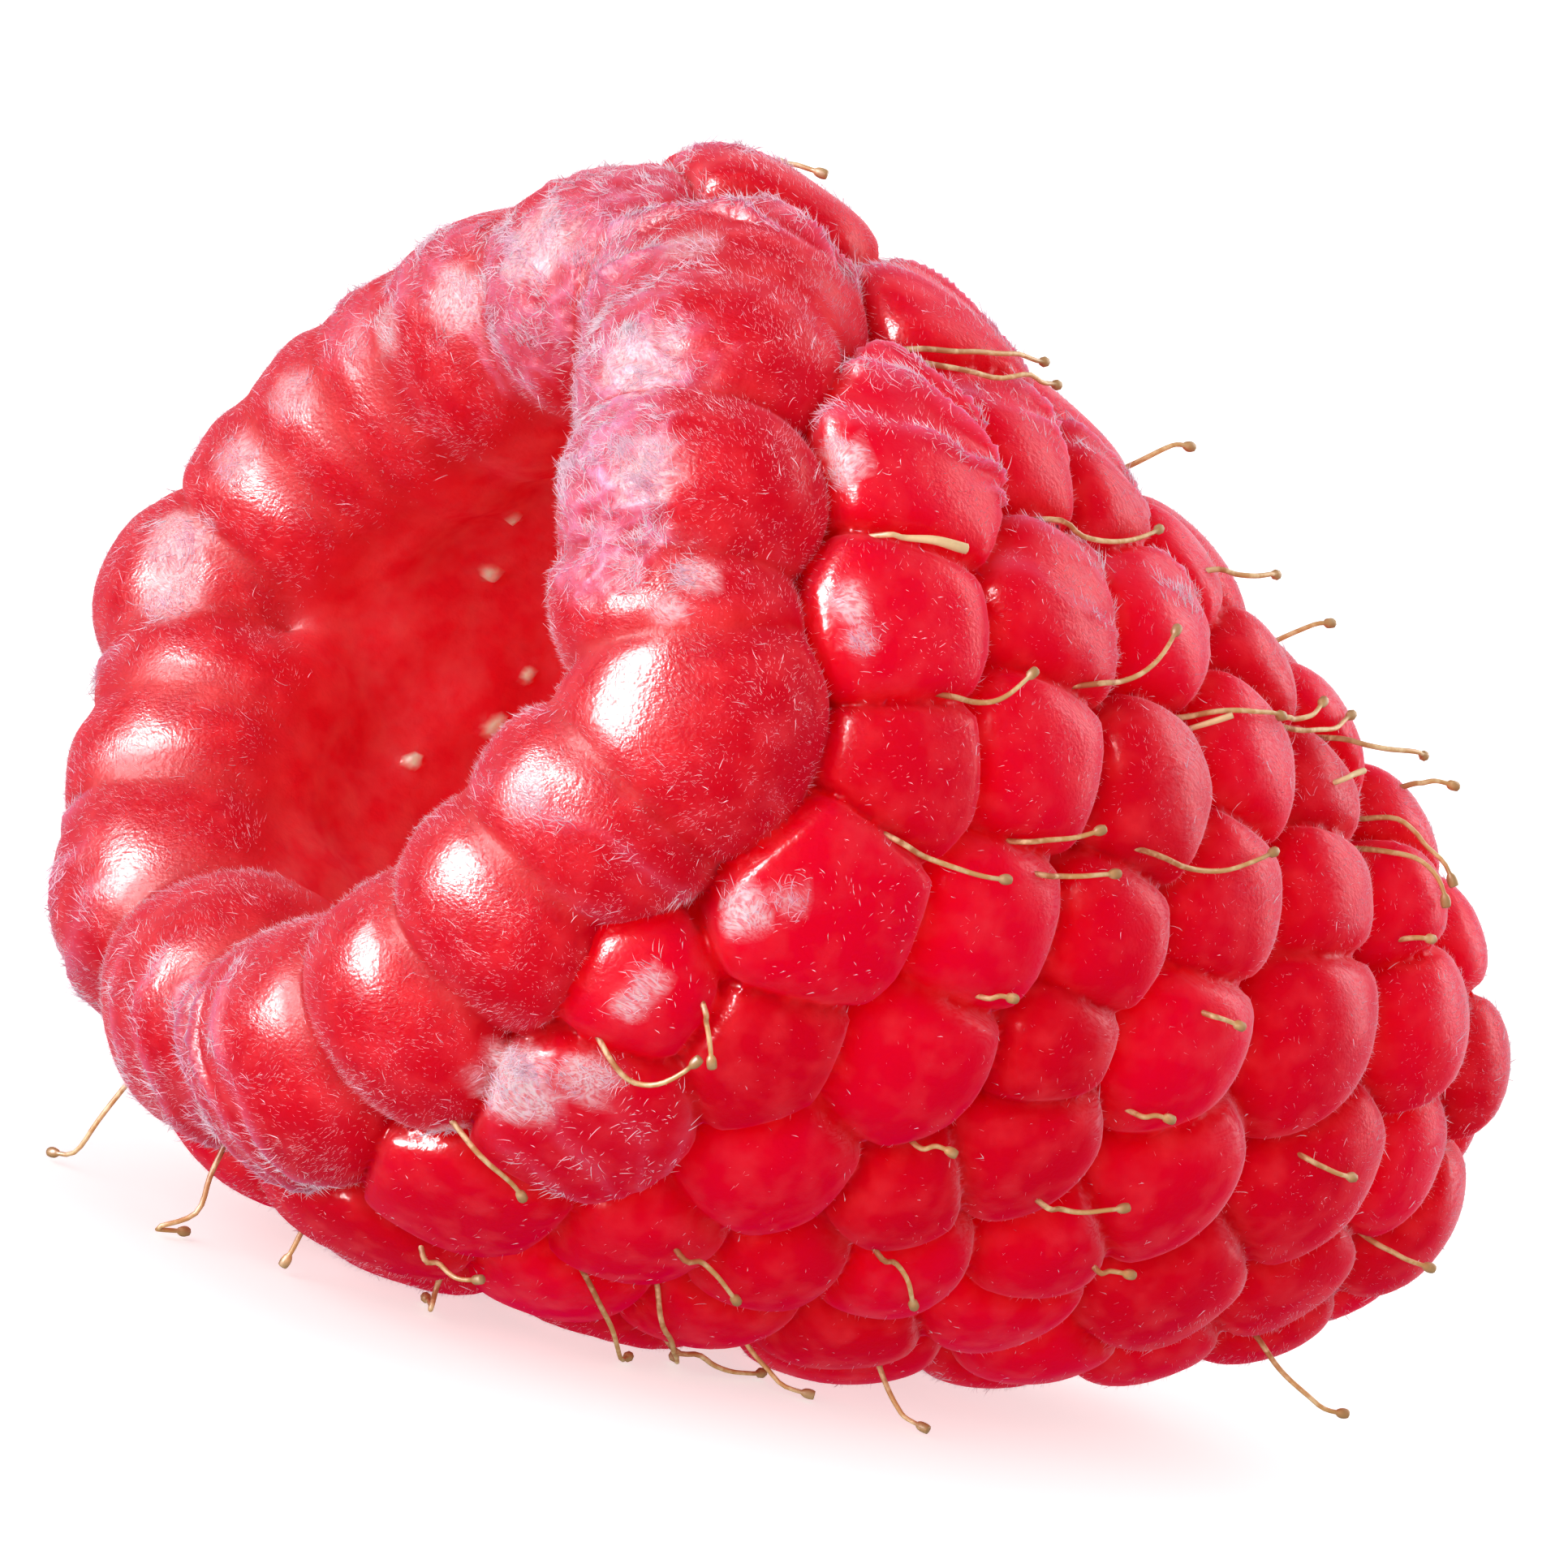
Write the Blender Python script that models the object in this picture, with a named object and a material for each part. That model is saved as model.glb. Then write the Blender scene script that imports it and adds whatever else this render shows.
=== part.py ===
"""A ripe raspberry lying on its side, picked off its core, so that it has an open hollow.

The berry is one solid: drupelets grown together side by side around the hollow. The dry styles, thin
threads that stand in the creases between drupelets, are separate pieces.

Places on the berry are given by three numbers. "along" is the distance in millimetres from the mouth's
plane towards the tip. "turn" is the angle in degrees round the berry's axis. "height" is millimetres above
the envelope, the smooth skin that would touch the drupelets' tops.
"""

import math

import bmesh
import bpy
import numpy as np
from mathutils import Matrix, Vector
from mathutils.bvhtree import BVHTree

MM = 0.001

# Size of the whole berry, in millimetres.
ENVELOPE_RADIUS = 9.92
WIDEST_ALONG = 4.2
TIP_ALONG = 24.5
TAPER_POWER = 1.5
TAPER_ROUNDNESS = 0.55
HOLLOW_RADIUS = 5.0
HOLLOW_DEPTH = 15.5
HOLLOW_ROUNDNESS = 0.6

# How it lies: the tip points down by TILT, and TURN_UP is the turn that faces straight up.
TILT = 15.0
TURN_UP = 17.2
MOUTH_CENTRE = (-10.28, 0.05, 11.11)
FLAT_BLOCK = 60.0

# Shape of a drupelet.
DOME_DEPTH = 1.9
DOME_FULLNESS = 2.3
DOME_SPREAD = 1.33
EDGE_SHARPNESS = 12
SEAM_OVERLAP = 0.03
MEETING_RANGE = 3.0
LEAST_DEPTH = 1.0
LEAST_SLOPE = 0.35
INNER_END_COVER = 0.4
BESIDE_RIM_ALONG = 5.7
BESIDE_RIM_SPREAD = 1.2
RIM_RADIUS = 7.3
RIM_LEAN = 40.0
RIM_REACH = 2.3
RIM_SHARE = 0.54

# Drupelets round the rim: turn, along, half width, and how far it stands out of the ring.
RIM = (
    (34, 1.8, 1.85, 0.1), (52, 1.1, 1.40, 0.0), (71, 0.9, 1.25, 0.0), (86, 1.4, 1.05, -0.2),
    (98, 2.0, 1.85, 0.4), (114, 1.6, 1.35, 0.0), (129, 1.5, 1.30, 0.0), (148, 1.5, 1.35, 0.0),
    (170, 1.5, 1.90, 0.0), (198, 1.3, 1.65, -0.4), (228, 1.2, 1.65, -0.3), (247, 1.1, 1.10, -0.7),
    (261, 1.3, 1.05, -0.8), (276, 1.1, 1.50, 0.3), (296, 1.2, 1.20, -0.5), (311, 1.2, 1.05, -0.8),
    (325, 1.3, 1.10, -1.0), (345, 1.2, 1.65, -1.0), (10, 1.3, 1.65, -0.4),
)

# Drupelets on the side: turn, along, half width and lift above the envelope. The rest are placed by rule.
SIDE = (
    (13, 3.0, 1.65, 0.3), (60, 3.7, 1.90, 0.1), (78, 4.2, 1.45, 0.0), (92, 5.3, 1.25, 0.0),
    (108, 5.0, 1.80, 0.1), (126, 3.2, 0.95, -0.1), (141, 3.7, 1.90, 0.1), (160, 3.8, 1.60, 0.0),
    (179, 4.2, 1.40, 0.0), (31, 5.6, 1.45, 0.1), (46, 6.4, 1.35, 0.0), (66, 7.4, 1.50, 0.0),
    (83, 7.8, 1.45, 0.0), (102, 8.2, 1.50, 0.0), (119, 8.4, 1.55, 0.0), (125, 5.6, 1.25, 0.0),
    (138, 7.6, 1.50, 0.0), (154, 6.9, 1.35, 0.0), (171, 7.2, 1.40, 0.0), (41, 8.9, 1.25, 0.0),
    (54, 10.3, 1.35, 0.0), (39, 11.4, 1.20, 0.0), (78, 10.8, 1.35, 0.0), (96, 10.9, 1.20, 0.0),
    (110, 11.0, 1.10, 0.0), (123, 11.8, 1.45, 0.0), (135, 10.3, 1.15, 0.0), (147, 11.7, 1.25, 0.0),
    (152, 9.6, 1.35, 0.0), (167, 9.9, 1.35, 0.0), (46, 13.2, 1.20, 0.1), (62, 13.0, 1.40, 0.0),
    (83, 13.2, 1.50, 0.0), (103, 13.7, 1.55, 0.0), (121, 15.2, 1.55, 0.0), (137, 14.0, 1.25, 0.0),
    (150, 14.4, 1.40, 0.0), (165, 12.7, 1.30, 0.0), (39, 15.8, 1.20, 0.2), (54, 15.5, 1.15, 0.0),
    (69, 16.0, 1.25, 0.0), (90, 16.9, 1.60, 0.0), (111, 18.8, 1.55, -0.1), (142, 17.5, 1.55, 0.0),
    (164, 16.8, 1.35, 0.0), (41, 18.3, 1.20, 0.4), (56, 18.4, 1.10, 0.4), (72, 19.6, 1.45, 0.4),
    (97, 21.3, 1.25, -0.2), (60, 21.9, 1.25, 0.5), (40, 20.7, 1.15, 0.5), (140, 20.5, 1.30, -0.2),
)

# The rule for the other drupelets: half widths at the mouth end and at the tip, and how tightly they pack.
FILL_WIDE = 1.62
FILL_NARROW = 1.15
FILL_FIRST_ALONG = 3.1
FILL_PACKING = 0.93
SETTLING_ROUNDS = 12
PATCH_TURN = 3.0
PATCH_ALONG = 0.25
HEXAGON_HALF_WIDTH = 0.537
RIM_COVER = 0.7
LAST_ALONG = TIP_ALONG - 0.1

# The flesh that joins the drupelets, between the hollow and the creases.
WALL_BELOW = 1.5
WALL_START = 1.5
WALL_END = 22.0
WALL_TIP = 0.4
WALL_SIDES = 48
WALL_STEPS = 12

# Looks.
FLESH_COLOUR = (0.70, 0.004, 0.030)
FLESH_ROUGHNESS = 0.35
STYLE_COLOUR = (0.62, 0.36, 0.13)
STYLE_ROUGHNESS = 0.6

# The mesh of the berry.
CELL_SUBDIVISIONS = 4
VOXEL = 0.26
KEEP_SHARE = 0.088

# A dry style: a thread with a knob at its tip.
STYLE_RADIUS = 0.07
KNOB_LENGTH = 0.2
KNOB_SWELL = 1.8
STYLE_STEPS = 6
STYLE_SPACING = 0.16
STYLE_ROOT = 0.2
STYLE_CLEARANCE = 0.13
STYLE_PUSH = 0.05
STYLE_PUSHES = 60
FLOOR_GAP = 0.15
SEARCH_HEIGHT = 3.0

# Styles: turn and along of the root, turn and along and height of the tip, and the sideways bow.
STYLES = (
    (47, 3.1, 31, 7.3, 0.3, -0.25), (48, 3.4, 33, 7.6, 0.2, -0.35), (57, 6.4, 47, 9.6, 0.2, -0.5),
    (72, 2.9, 70, 4.5, 0.3, 0.0), (84, 4.9, 77, 6.6, 0.2, -0.35), (74, 7.9, 60, 9.9, 0.2, -0.4),
    (99, 5.0, 97, 7.6, 0.2, -0.15), (93, 7.7, 87, 9.2, 0.1, -0.05), (95, 8.2, 90, 9.9, 0.1, -0.05),
    (86, 10.1, 76, 13.3, 0.2, -0.45), (66, 10.9, 58, 13.1, 0.2, 0.0), (66, 11.4, 64, 11.7, 0.1, 0.0),
    (58, 13.0, 49, 14.3, 0.4, -0.2), (57, 13.3, 42, 15.6, 0.3, -0.3), (57, 15.1, 53, 15.6, 0.4, 0.0),
    (47, 15.0, 37, 17.5, 1.0, -0.3), (57, 16.6, 60, 18.3, 0.3, 0.35), (50, 16.6, 54, 18.6, 0.3, 0.4),
    (67, 18.0, 65, 18.4, 0.1, 0.0), (43, 11.2, 36, 13.0, 0.7, -0.2), (33, 9.6, 30, 10.6, 1.0, 0.0),
    (35, 14.0, 32, 14.8, 0.9, 0.0), (39, 17.6, 37, 18.3, 1.2, 0.0), (131, 2.6, 126, 4.0, 0.5, -0.7),
    (122, 3.7, 127, 4.5, 0.2, 0.0), (149, 1.8, 151, 3.9, 0.2, 0.2), (171, 4.2, 166, 5.1, 0.3, -0.3),
    (180, 5.8, 188, 6.5, 0.9, 0.0), (186, 3.5, 189, 4.0, 1.9, 0.0), (192, 1.9, 195, 2.6, 1.6, 0.0),
    (212, 1.4, 214, 1.6, 2.2, 0.0), (160, 6.2, 177, 9.4, 0.5, 0.3), (150, 6.9, 153, 8.8, 0.3, 0.2),
    (163, 8.3, 180, 10.6, 0.3, 0.3), (141, 10.2, 146, 11.8, 0.2, 0.2), (127, 12.1, 123, 13.9, 0.2, -0.2),
    (98, 13.1, 97, 14.0, 0.1, 0.0), (134, 14.5, 133, 15.4, 0.1, 0.0), (108, 17.5, 107, 18.7, 0.1, 0.0),
    (121, 21.5, 118, 22.2, 0.5, 0.0), (153, 20.5, 150, 21.5, 1.6, 0.0), (172, 9.5, 179, 12.3, 0.3, 0.2),
    (168, 13.6, 165, 14.2, 1.0, 0.0), (176, 11.3, 172, 12.7, 0.6, 0.0), (10, 2.6, 14, 3.4, 0.6, 0.0),
    (109, 8.4, 107, 9.0, 0.1, 0.1), (127, 9.3, 125, 9.9, 0.1, 0.1), (113, 13.0, 111, 13.7, 0.1, 0.1),
)

# More styles, on the side away from these, spaced by a constant turn and step.
FAR_STYLES = 10
FAR_FIRST = (238.0, 3.6)
FAR_TURN = 61.0
FAR_TURNS = (236.0, 372.0)
FAR_STEP = 1.7
FAR_LENGTH = 2.2
FAR_BEND = 9.0
FAR_HEIGHT = 0.3
FAR_BOW = 0.25


def envelope_radius(along):
    """Radius of the envelope, which narrows towards the tip."""
    share = np.clip((along - WIDEST_ALONG) / (TIP_ALONG - WIDEST_ALONG), 0.0, 1.0)
    return ENVELOPE_RADIUS * (1 - share**TAPER_POWER) ** TAPER_ROUNDNESS


def hollow_radius(along):
    """Radius of the hollow, widest at the mouth, and nothing beyond its depth."""
    share = np.clip(along / HOLLOW_DEPTH, 0.0, 1.0)
    return HOLLOW_RADIUS * (1 - share**2) ** HOLLOW_ROUNDNESS


def radial(turn):
    """Unit vector straight out from the axis at this turn. The axis is X, and turn 0 is up."""
    return np.array([0.0, -math.sin(math.radians(turn)), math.cos(math.radians(turn))])


def outward(turn, along):
    """Unit vector at right angles to the envelope."""
    step = 0.05
    slope = (envelope_radius(along + step) - envelope_radius(along - step)) / (2 * step)
    normal = radial(turn) - slope * np.array([1.0, 0.0, 0.0])
    return normal / np.linalg.norm(normal)


def on_envelope(turn, along, height=0.0):
    """The point at this place, in the berry's own frame."""
    point = radial(turn) * envelope_radius(along)
    point[0] = along
    return point + outward(turn, along) * height


def rim_drupelet(turn, along, half_width, stand_out):
    """A drupelet of the rim, which curls from the outside over the lip into the hollow."""
    lean = math.radians(RIM_LEAN)
    normal = radial(turn) * math.cos(lean) - np.array([math.sin(lean), 0.0, 0.0])
    middle = radial(turn) * (RIM_RADIUS + stand_out)
    middle[0] = along
    return {
        "middle": middle,
        "normal": normal,
        "tangent": radial(turn + 90),
        "half_width": half_width,
        "on_rim": True,
        "reach": (RIM_REACH, RIM_REACH, RIM_REACH, half_width * DOME_SPREAD),
    }


def side_drupelet(turn, along, half_width, lift, patch_half_width):
    """A drupelet of the side, a dome outside that narrows inwards to the wall of the hollow."""
    normal = outward(turn, along)
    middle = on_envelope(turn, along, -DOME_DEPTH)
    from_axis = math.hypot(middle[1], middle[2])
    wall = float(hollow_radius(max(middle[0], 0.0))) + INNER_END_COVER
    inwards = (from_axis - wall) / max(normal @ radial(turn), LEAST_SLOPE)
    spread = max(half_width, patch_half_width) * DOME_SPREAD
    if along < BESIDE_RIM_ALONG:
        spread *= BESIDE_RIM_SPREAD
    return {
        "middle": middle,
        "normal": normal,
        "tangent": radial(turn + 90),
        "half_width": half_width,
        "on_rim": False,
        "reach": (DOME_DEPTH + lift, max(inwards, LEAST_DEPTH), spread, spread),
    }


def usual_half_width(along):
    """Usual half width of a drupelet at this distance from the mouth."""
    return FILL_WIDE + (FILL_NARROW - FILL_WIDE) * along / TIP_ALONG


def patches_from(first_along):
    """Small patches that cover the envelope: their places, middle points and areas."""
    alongs = np.arange(first_along, TIP_ALONG, PATCH_ALONG)
    turns = np.arange(0.0, 360.0, PATCH_TURN)
    places = [(float(turn), float(along)) for along in alongs for turn in turns]
    points = np.array([on_envelope(*place) for place in places])
    areas = np.array([math.radians(PATCH_TURN) * envelope_radius(along) * PATCH_ALONG for _, along in places])
    return places, points, areas


def fill_places(taken):
    """Places for drupelets in the room that is left: each goes where the nearest one is furthest away."""
    places, points, _ = patches_from(FILL_FIRST_ALONG)
    widths = np.array([usual_half_width(along) for _, along in places])
    room = np.full(len(places), np.inf)
    new = [(on_envelope(turn, along), half_width) for turn, along, half_width, _ in taken]
    found = []
    while new:
        for point, half_width in new:
            room = np.minimum(room, np.linalg.norm(points - point, axis=1) / (widths + half_width))
        best = int(np.argmax(room))
        new = []
        if room[best] > FILL_PACKING:
            found.append(places[best])
            new.append((points[best], widths[best]))
    return found


def settle(found, taken):
    """Moves the found places apart until each is in the middle of its own patch of the envelope.

    It returns them, and the half width of every drupelet's patch, those of the taken places first.
    """
    _, points, areas = patches_from(FILL_FIRST_ALONG - RIM_COVER)
    held = np.array([on_envelope(turn, along) for turn, along, _, _ in taken])
    for _ in range(SETTLING_ROUNDS):
        middles = np.vstack([held, [on_envelope(*place) for place in found]])
        nearest = np.argmin(np.linalg.norm(points[:, None] - middles[None], axis=2), axis=1)
        for number in range(len(found)):
            patch = nearest == len(held) + number
            x, y, z = np.average(points[patch], axis=0, weights=areas[patch])
            found[number] = (math.degrees(math.atan2(-y, z)) % 360, min(x, LAST_ALONG))
    sizes = [areas[nearest == number].sum() for number in range(len(middles))]
    return found, [HEXAGON_HALF_WIDTH * math.sqrt(size) for size in sizes]


def all_drupelets():
    """Every drupelet of the berry: the rim, the side, and those placed by rule."""
    lip = tuple((turn, along + RIM_COVER, half_width, 0.0) for turn, along, half_width, _ in RIM)
    taken = lip + SIDE
    found, patch_widths = settle(fill_places(taken), taken)
    cells = [rim_drupelet(*row) for row in RIM]
    cells += [side_drupelet(*row, width) for row, width in zip(SIDE, patch_widths[len(lip):])]
    for place, width in zip(found, patch_widths[len(taken):]):
        cells.append(side_drupelet(*place, width, 0.0, width))
    return cells


def neighbours(cell, cells):
    """The planes where this drupelet meets others: directions and distances from its middle."""
    planes = []
    for other in cells:
        apart = other["middle"] - cell["middle"]
        distance = float(np.linalg.norm(apart))
        if other is cell or distance > MEETING_RANGE * (cell["half_width"] + other["half_width"]):
            continue
        share = cell["half_width"] / (cell["half_width"] + other["half_width"])
        if cell["on_rim"] != other["on_rim"]:
            share = RIM_SHARE if cell["on_rim"] else 1 - RIM_SHARE
        planes.append((apart / distance, distance * share + SEAM_OVERLAP))
    return planes


def cell_distances(cell, planes, directions):
    """How far the drupelet's skin is from its middle, in each direction."""
    out, inwards, across, around = cell["reach"]
    normal = cell["normal"]
    tangent = cell["tangent"]
    binormal = np.cross(normal, tangent)
    rise = directions @ normal
    depth = np.where(rise > 0, out, inwards)
    near = (
        (np.abs(rise) / depth) ** DOME_FULLNESS
        + (np.abs(directions @ binormal) / across) ** DOME_FULLNESS
        + (np.abs(directions @ tangent) / around) ** DOME_FULLNESS
    ) ** (1 / DOME_FULLNESS)
    total = near**EDGE_SHARPNESS
    for direction, distance in planes:
        total += (np.maximum(directions @ direction, 0.0) / distance) ** EDGE_SHARPNESS
    return total ** (-1 / EDGE_SHARPNESS)


def stand():
    """The move from the berry's own frame to where it lies, both in metres."""
    pitch = Matrix.Rotation(math.radians(TILT), 4, "Y")
    roll = Matrix.Rotation(math.radians(-TURN_UP), 4, "X")
    return Matrix.Translation(Vector(MOUTH_CENTRE) * MM) @ pitch @ roll


def add_cell(mesh, cell, planes, sphere):
    """Adds one drupelet to the mesh as a closed body, moving each point of a sphere out to its skin."""
    directions = np.array([vertex.co[:] for vertex in sphere.verts])
    directions /= np.linalg.norm(directions, axis=1)[:, None]
    points = cell["middle"] + directions * cell_distances(cell, planes, directions)[:, None]
    added = [mesh.verts.new(point) for point in points]
    for face in sphere.faces:
        mesh.faces.new([added[vertex.index] for vertex in face.verts])


def wall_profile():
    """Distances along and radii of the wall's outline, from the tip outside to the hollow's end inside."""
    outer = np.linspace(WALL_END, WALL_START, WALL_STEPS)
    inner = np.linspace(WALL_START, HOLLOW_DEPTH, WALL_STEPS)
    profile = [(WALL_END + WALL_TIP, 0.0)]
    profile += [(along, float(envelope_radius(along)) - WALL_BELOW) for along in outer]
    profile += [(along, float(hollow_radius(along))) for along in inner]
    return profile


def add_wall(mesh):
    """Adds the flesh between the drupelets: a thick cup between the hollow and the creases."""
    turns = [360 * side / WALL_SIDES for side in range(WALL_SIDES)]
    rings = []
    for along, radius in wall_profile():
        if radius == 0.0:
            rings.append([mesh.verts.new((along, 0.0, 0.0))] * WALL_SIDES)
        else:
            middle = np.array([along, 0.0, 0.0])
            rings.append([mesh.verts.new(middle + radial(turn) * radius) for turn in turns])
    for first, second in zip(rings, rings[1:]):
        for side in range(WALL_SIDES):
            after = (side + 1) % WALL_SIDES
            corners = [first[side], first[after], second[after], second[side]]
            mesh.faces.new(list(dict.fromkeys(corners)))


def grown_mesh(cells):
    """The drupelets and the wall in metres, as closed bodies that run into each other."""
    sphere = bmesh.new()
    bmesh.ops.create_icosphere(sphere, subdivisions=CELL_SUBDIVISIONS, radius=1.0)
    sphere.verts.index_update()
    grown = bmesh.new()
    for cell in cells:
        add_cell(grown, cell, neighbours(cell, cells), sphere)
    add_wall(grown)
    bmesh.ops.recalc_face_normals(grown, faces=grown.faces)
    bmesh.ops.scale(grown, vec=(MM, MM, MM), verts=grown.verts)
    mesh = bpy.data.meshes.new("berry")
    grown.to_mesh(mesh)
    grown.free()
    sphere.free()
    return mesh


def principled(name, colour, roughness):
    """A material with this colour and roughness that isn't a metal."""
    material = bpy.data.materials.new(name)
    material.use_nodes = True
    shader = material.node_tree.nodes["Principled BSDF"]
    shader.inputs["Base Color"].default_value = (*colour, 1.0)
    shader.inputs["Roughness"].default_value = roughness
    shader.inputs["Metallic"].default_value = 0.0
    return material


def add_object(name, data, material, matrix):
    """A named object with its material, placed by this matrix."""
    made = bpy.data.objects.new(name, data)
    data.materials.append(material)
    bpy.context.scene.collection.objects.link(made)
    made.matrix_world = matrix
    return made


def add_flat_cutter():
    """A block below the floor, which takes a thin flat off the drupelets that the berry rests on."""
    block = bmesh.new()
    bmesh.ops.create_cube(block, size=FLAT_BLOCK * MM)
    bmesh.ops.translate(block, vec=(0, 0, -FLAT_BLOCK * MM / 2), verts=block.verts)
    mesh = bpy.data.meshes.new("flat_cutter")
    block.to_mesh(mesh)
    block.free()
    cutter = bpy.data.objects.new("flat_cutter", mesh)
    bpy.context.scene.collection.objects.link(cutter)
    cutter.hide_render = True
    cutter.display_type = "WIRE"
    return cutter


def add_berry():
    """The whole berry as one solid that rests on its flats."""
    flesh = principled("berry_flesh", FLESH_COLOUR, FLESH_ROUGHNESS)
    berry = add_object("berry", grown_mesh(all_drupelets()), flesh, stand())
    grow = berry.modifiers.new("grown_together", "REMESH")
    grow.mode = "VOXEL"
    grow.voxel_size = VOXEL * MM
    grow.use_smooth_shade = True
    lighten = berry.modifiers.new("fewer_faces", "DECIMATE")
    lighten.ratio = KEEP_SHARE
    flat = berry.modifiers.new("flats_to_rest_on", "BOOLEAN")
    flat.operation = "DIFFERENCE"
    flat.solver = "EXACT"
    flat.object = add_flat_cutter()
    return berry


def surface_of(berry):
    """The berry's surface in its own frame, in millimetres, to measure distances from."""
    bpy.context.view_layer.update()
    evaluated = berry.evaluated_get(bpy.context.evaluated_depsgraph_get())
    mesh = evaluated.to_mesh()
    points = [vertex.co / MM for vertex in mesh.vertices]
    faces = [tuple(polygon.vertices) for polygon in mesh.polygons]
    evaluated.to_mesh_clear()
    return BVHTree.FromPolygons(points, faces)


def clearance(surface, point):
    """How far this point is outside the berry, below zero inside it."""
    nearest, normal, _, distance = surface.find_nearest(point)
    return math.copysign(distance, (point - nearest).dot(normal))


def depth_at(surface, turn, along):
    """How far the berry's surface is below the envelope at this place."""
    start = Vector(on_envelope(turn, along, SEARCH_HEIGHT))
    _, _, _, distance = surface.ray_cast(start, Vector(-outward(turn, along)))
    return distance - SEARCH_HEIGHT


def cleared(surface, point, turn, along):
    """This point moved outwards until it clears the berry, and up until it clears the floor."""
    to_world = stand()
    up = to_world.inverted().to_3x3() @ Vector((0, 0, 1))
    out = Vector(outward(turn, along))
    for _ in range(STYLE_PUSHES):
        lift = FLOOR_GAP - (to_world @ (point * MM)).z / MM
        if lift > 0:
            point = point + up * lift
            out = (out - up * out.dot(up)).normalized()
        elif clearance(surface, point) >= STYLE_CLEARANCE:
            break
        point = point + out * STYLE_PUSH
    return point


def style_points(surface, row):
    """Points along a style, from its root in a crease to its tip, in the berry's own frame."""
    root_turn, root_along, tip_turn, tip_along, tip_height, bow = row
    root_depth = depth_at(surface, root_turn, root_along) + STYLE_ROOT
    root = Vector(on_envelope(root_turn, root_along, -root_depth))
    run = Vector(on_envelope(tip_turn, tip_along)) - root
    sideways = Vector(outward(root_turn, root_along)).cross(run).normalized()
    points = [root]
    for step in range(1, STYLE_STEPS + 1):
        share = step / STYLE_STEPS
        turn = root_turn + (tip_turn - root_turn) * share
        along = root_along + (tip_along - root_along) * share
        height = tip_height - (tip_height + root_depth) * (1 - share) ** 2
        point = Vector(on_envelope(turn, along, height)) + sideways * bow * math.sin(math.pi * share)
        points.append(cleared(surface, point, turn, along))
    return points


def style_curve(points, name):
    """A thread through these points that swells into a knob at its tip."""
    spaced = points[:1]
    for point in points[1:-1]:
        to_tip = (points[-1] - point).length - KNOB_LENGTH
        if min((point - spaced[-1]).length, to_tip) > STYLE_SPACING:
            spaced.append(point)
    heading = (points[-1] - spaced[-1]).normalized()
    thread = [(point, 1.0) for point in spaced]
    thread.append((points[-1] - heading * KNOB_LENGTH, 1.0))
    thread.append((points[-1] - heading * KNOB_LENGTH / 2, KNOB_SWELL))
    thread.append((points[-1], (1.0 + KNOB_SWELL) / 2))
    curve = bpy.data.curves.new(name, "CURVE")
    curve.dimensions = "3D"
    curve.bevel_depth = STYLE_RADIUS * MM
    curve.bevel_resolution = 1
    curve.use_fill_caps = True
    spline = curve.splines.new("POLY")
    spline.points.add(len(thread) - 1)
    for place, (point, swell) in zip(spline.points, thread):
        place.co = (*(point * MM), 1.0)
        place.radius = swell
    return curve


def far_styles():
    """Rows like those of STYLES for the far side, where the turn steps round between two limits."""
    turn, along = FAR_FIRST
    rows = []
    for number in range(FAR_STYLES):
        side = 1 if number % 2 else -1
        tip_turn = turn + side * FAR_BEND
        rows.append((turn, along, tip_turn, along + FAR_LENGTH, FAR_HEIGHT, side * FAR_BOW))
        turn += FAR_TURN
        if turn > FAR_TURNS[1]:
            turn -= FAR_TURNS[1] - FAR_TURNS[0]
        along += FAR_STEP
    return rows


def add_styles(berry):
    """The dry styles, each a piece of its own that is rooted in the berry."""
    dry = principled("dry_style", STYLE_COLOUR, STYLE_ROUGHNESS)
    surface = surface_of(berry)
    for number, row in enumerate((*STYLES, *far_styles()), start=1):
        name = f"style_{number:02d}"
        add_object(name, style_curve(style_points(surface, row), name), dry, berry.matrix_world)


def main():
    """Clears the scene and builds the raspberry."""
    for old in list(bpy.data.objects):
        bpy.data.objects.remove(old)
    add_styles(add_berry())


main()
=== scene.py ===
"""The looks of a ripe raspberry that lies on its side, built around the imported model.

The flesh is one fine skin over the same drupelets as the solid model. Short pale down covers it, and each
dry style stands for its own node. Places on the berry are given by three numbers. "along" is the distance
in millimetres from the mouth's plane towards the tip. "turn" is the angle in degrees round the berry's
axis. "height" is millimetres above the envelope, the smooth skin that would touch the drupelets' tops.
"""

import math

import bmesh
import bpy
import numpy as np
from mathutils import Matrix, Vector, noise
from mathutils.bvhtree import BVHTree


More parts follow.
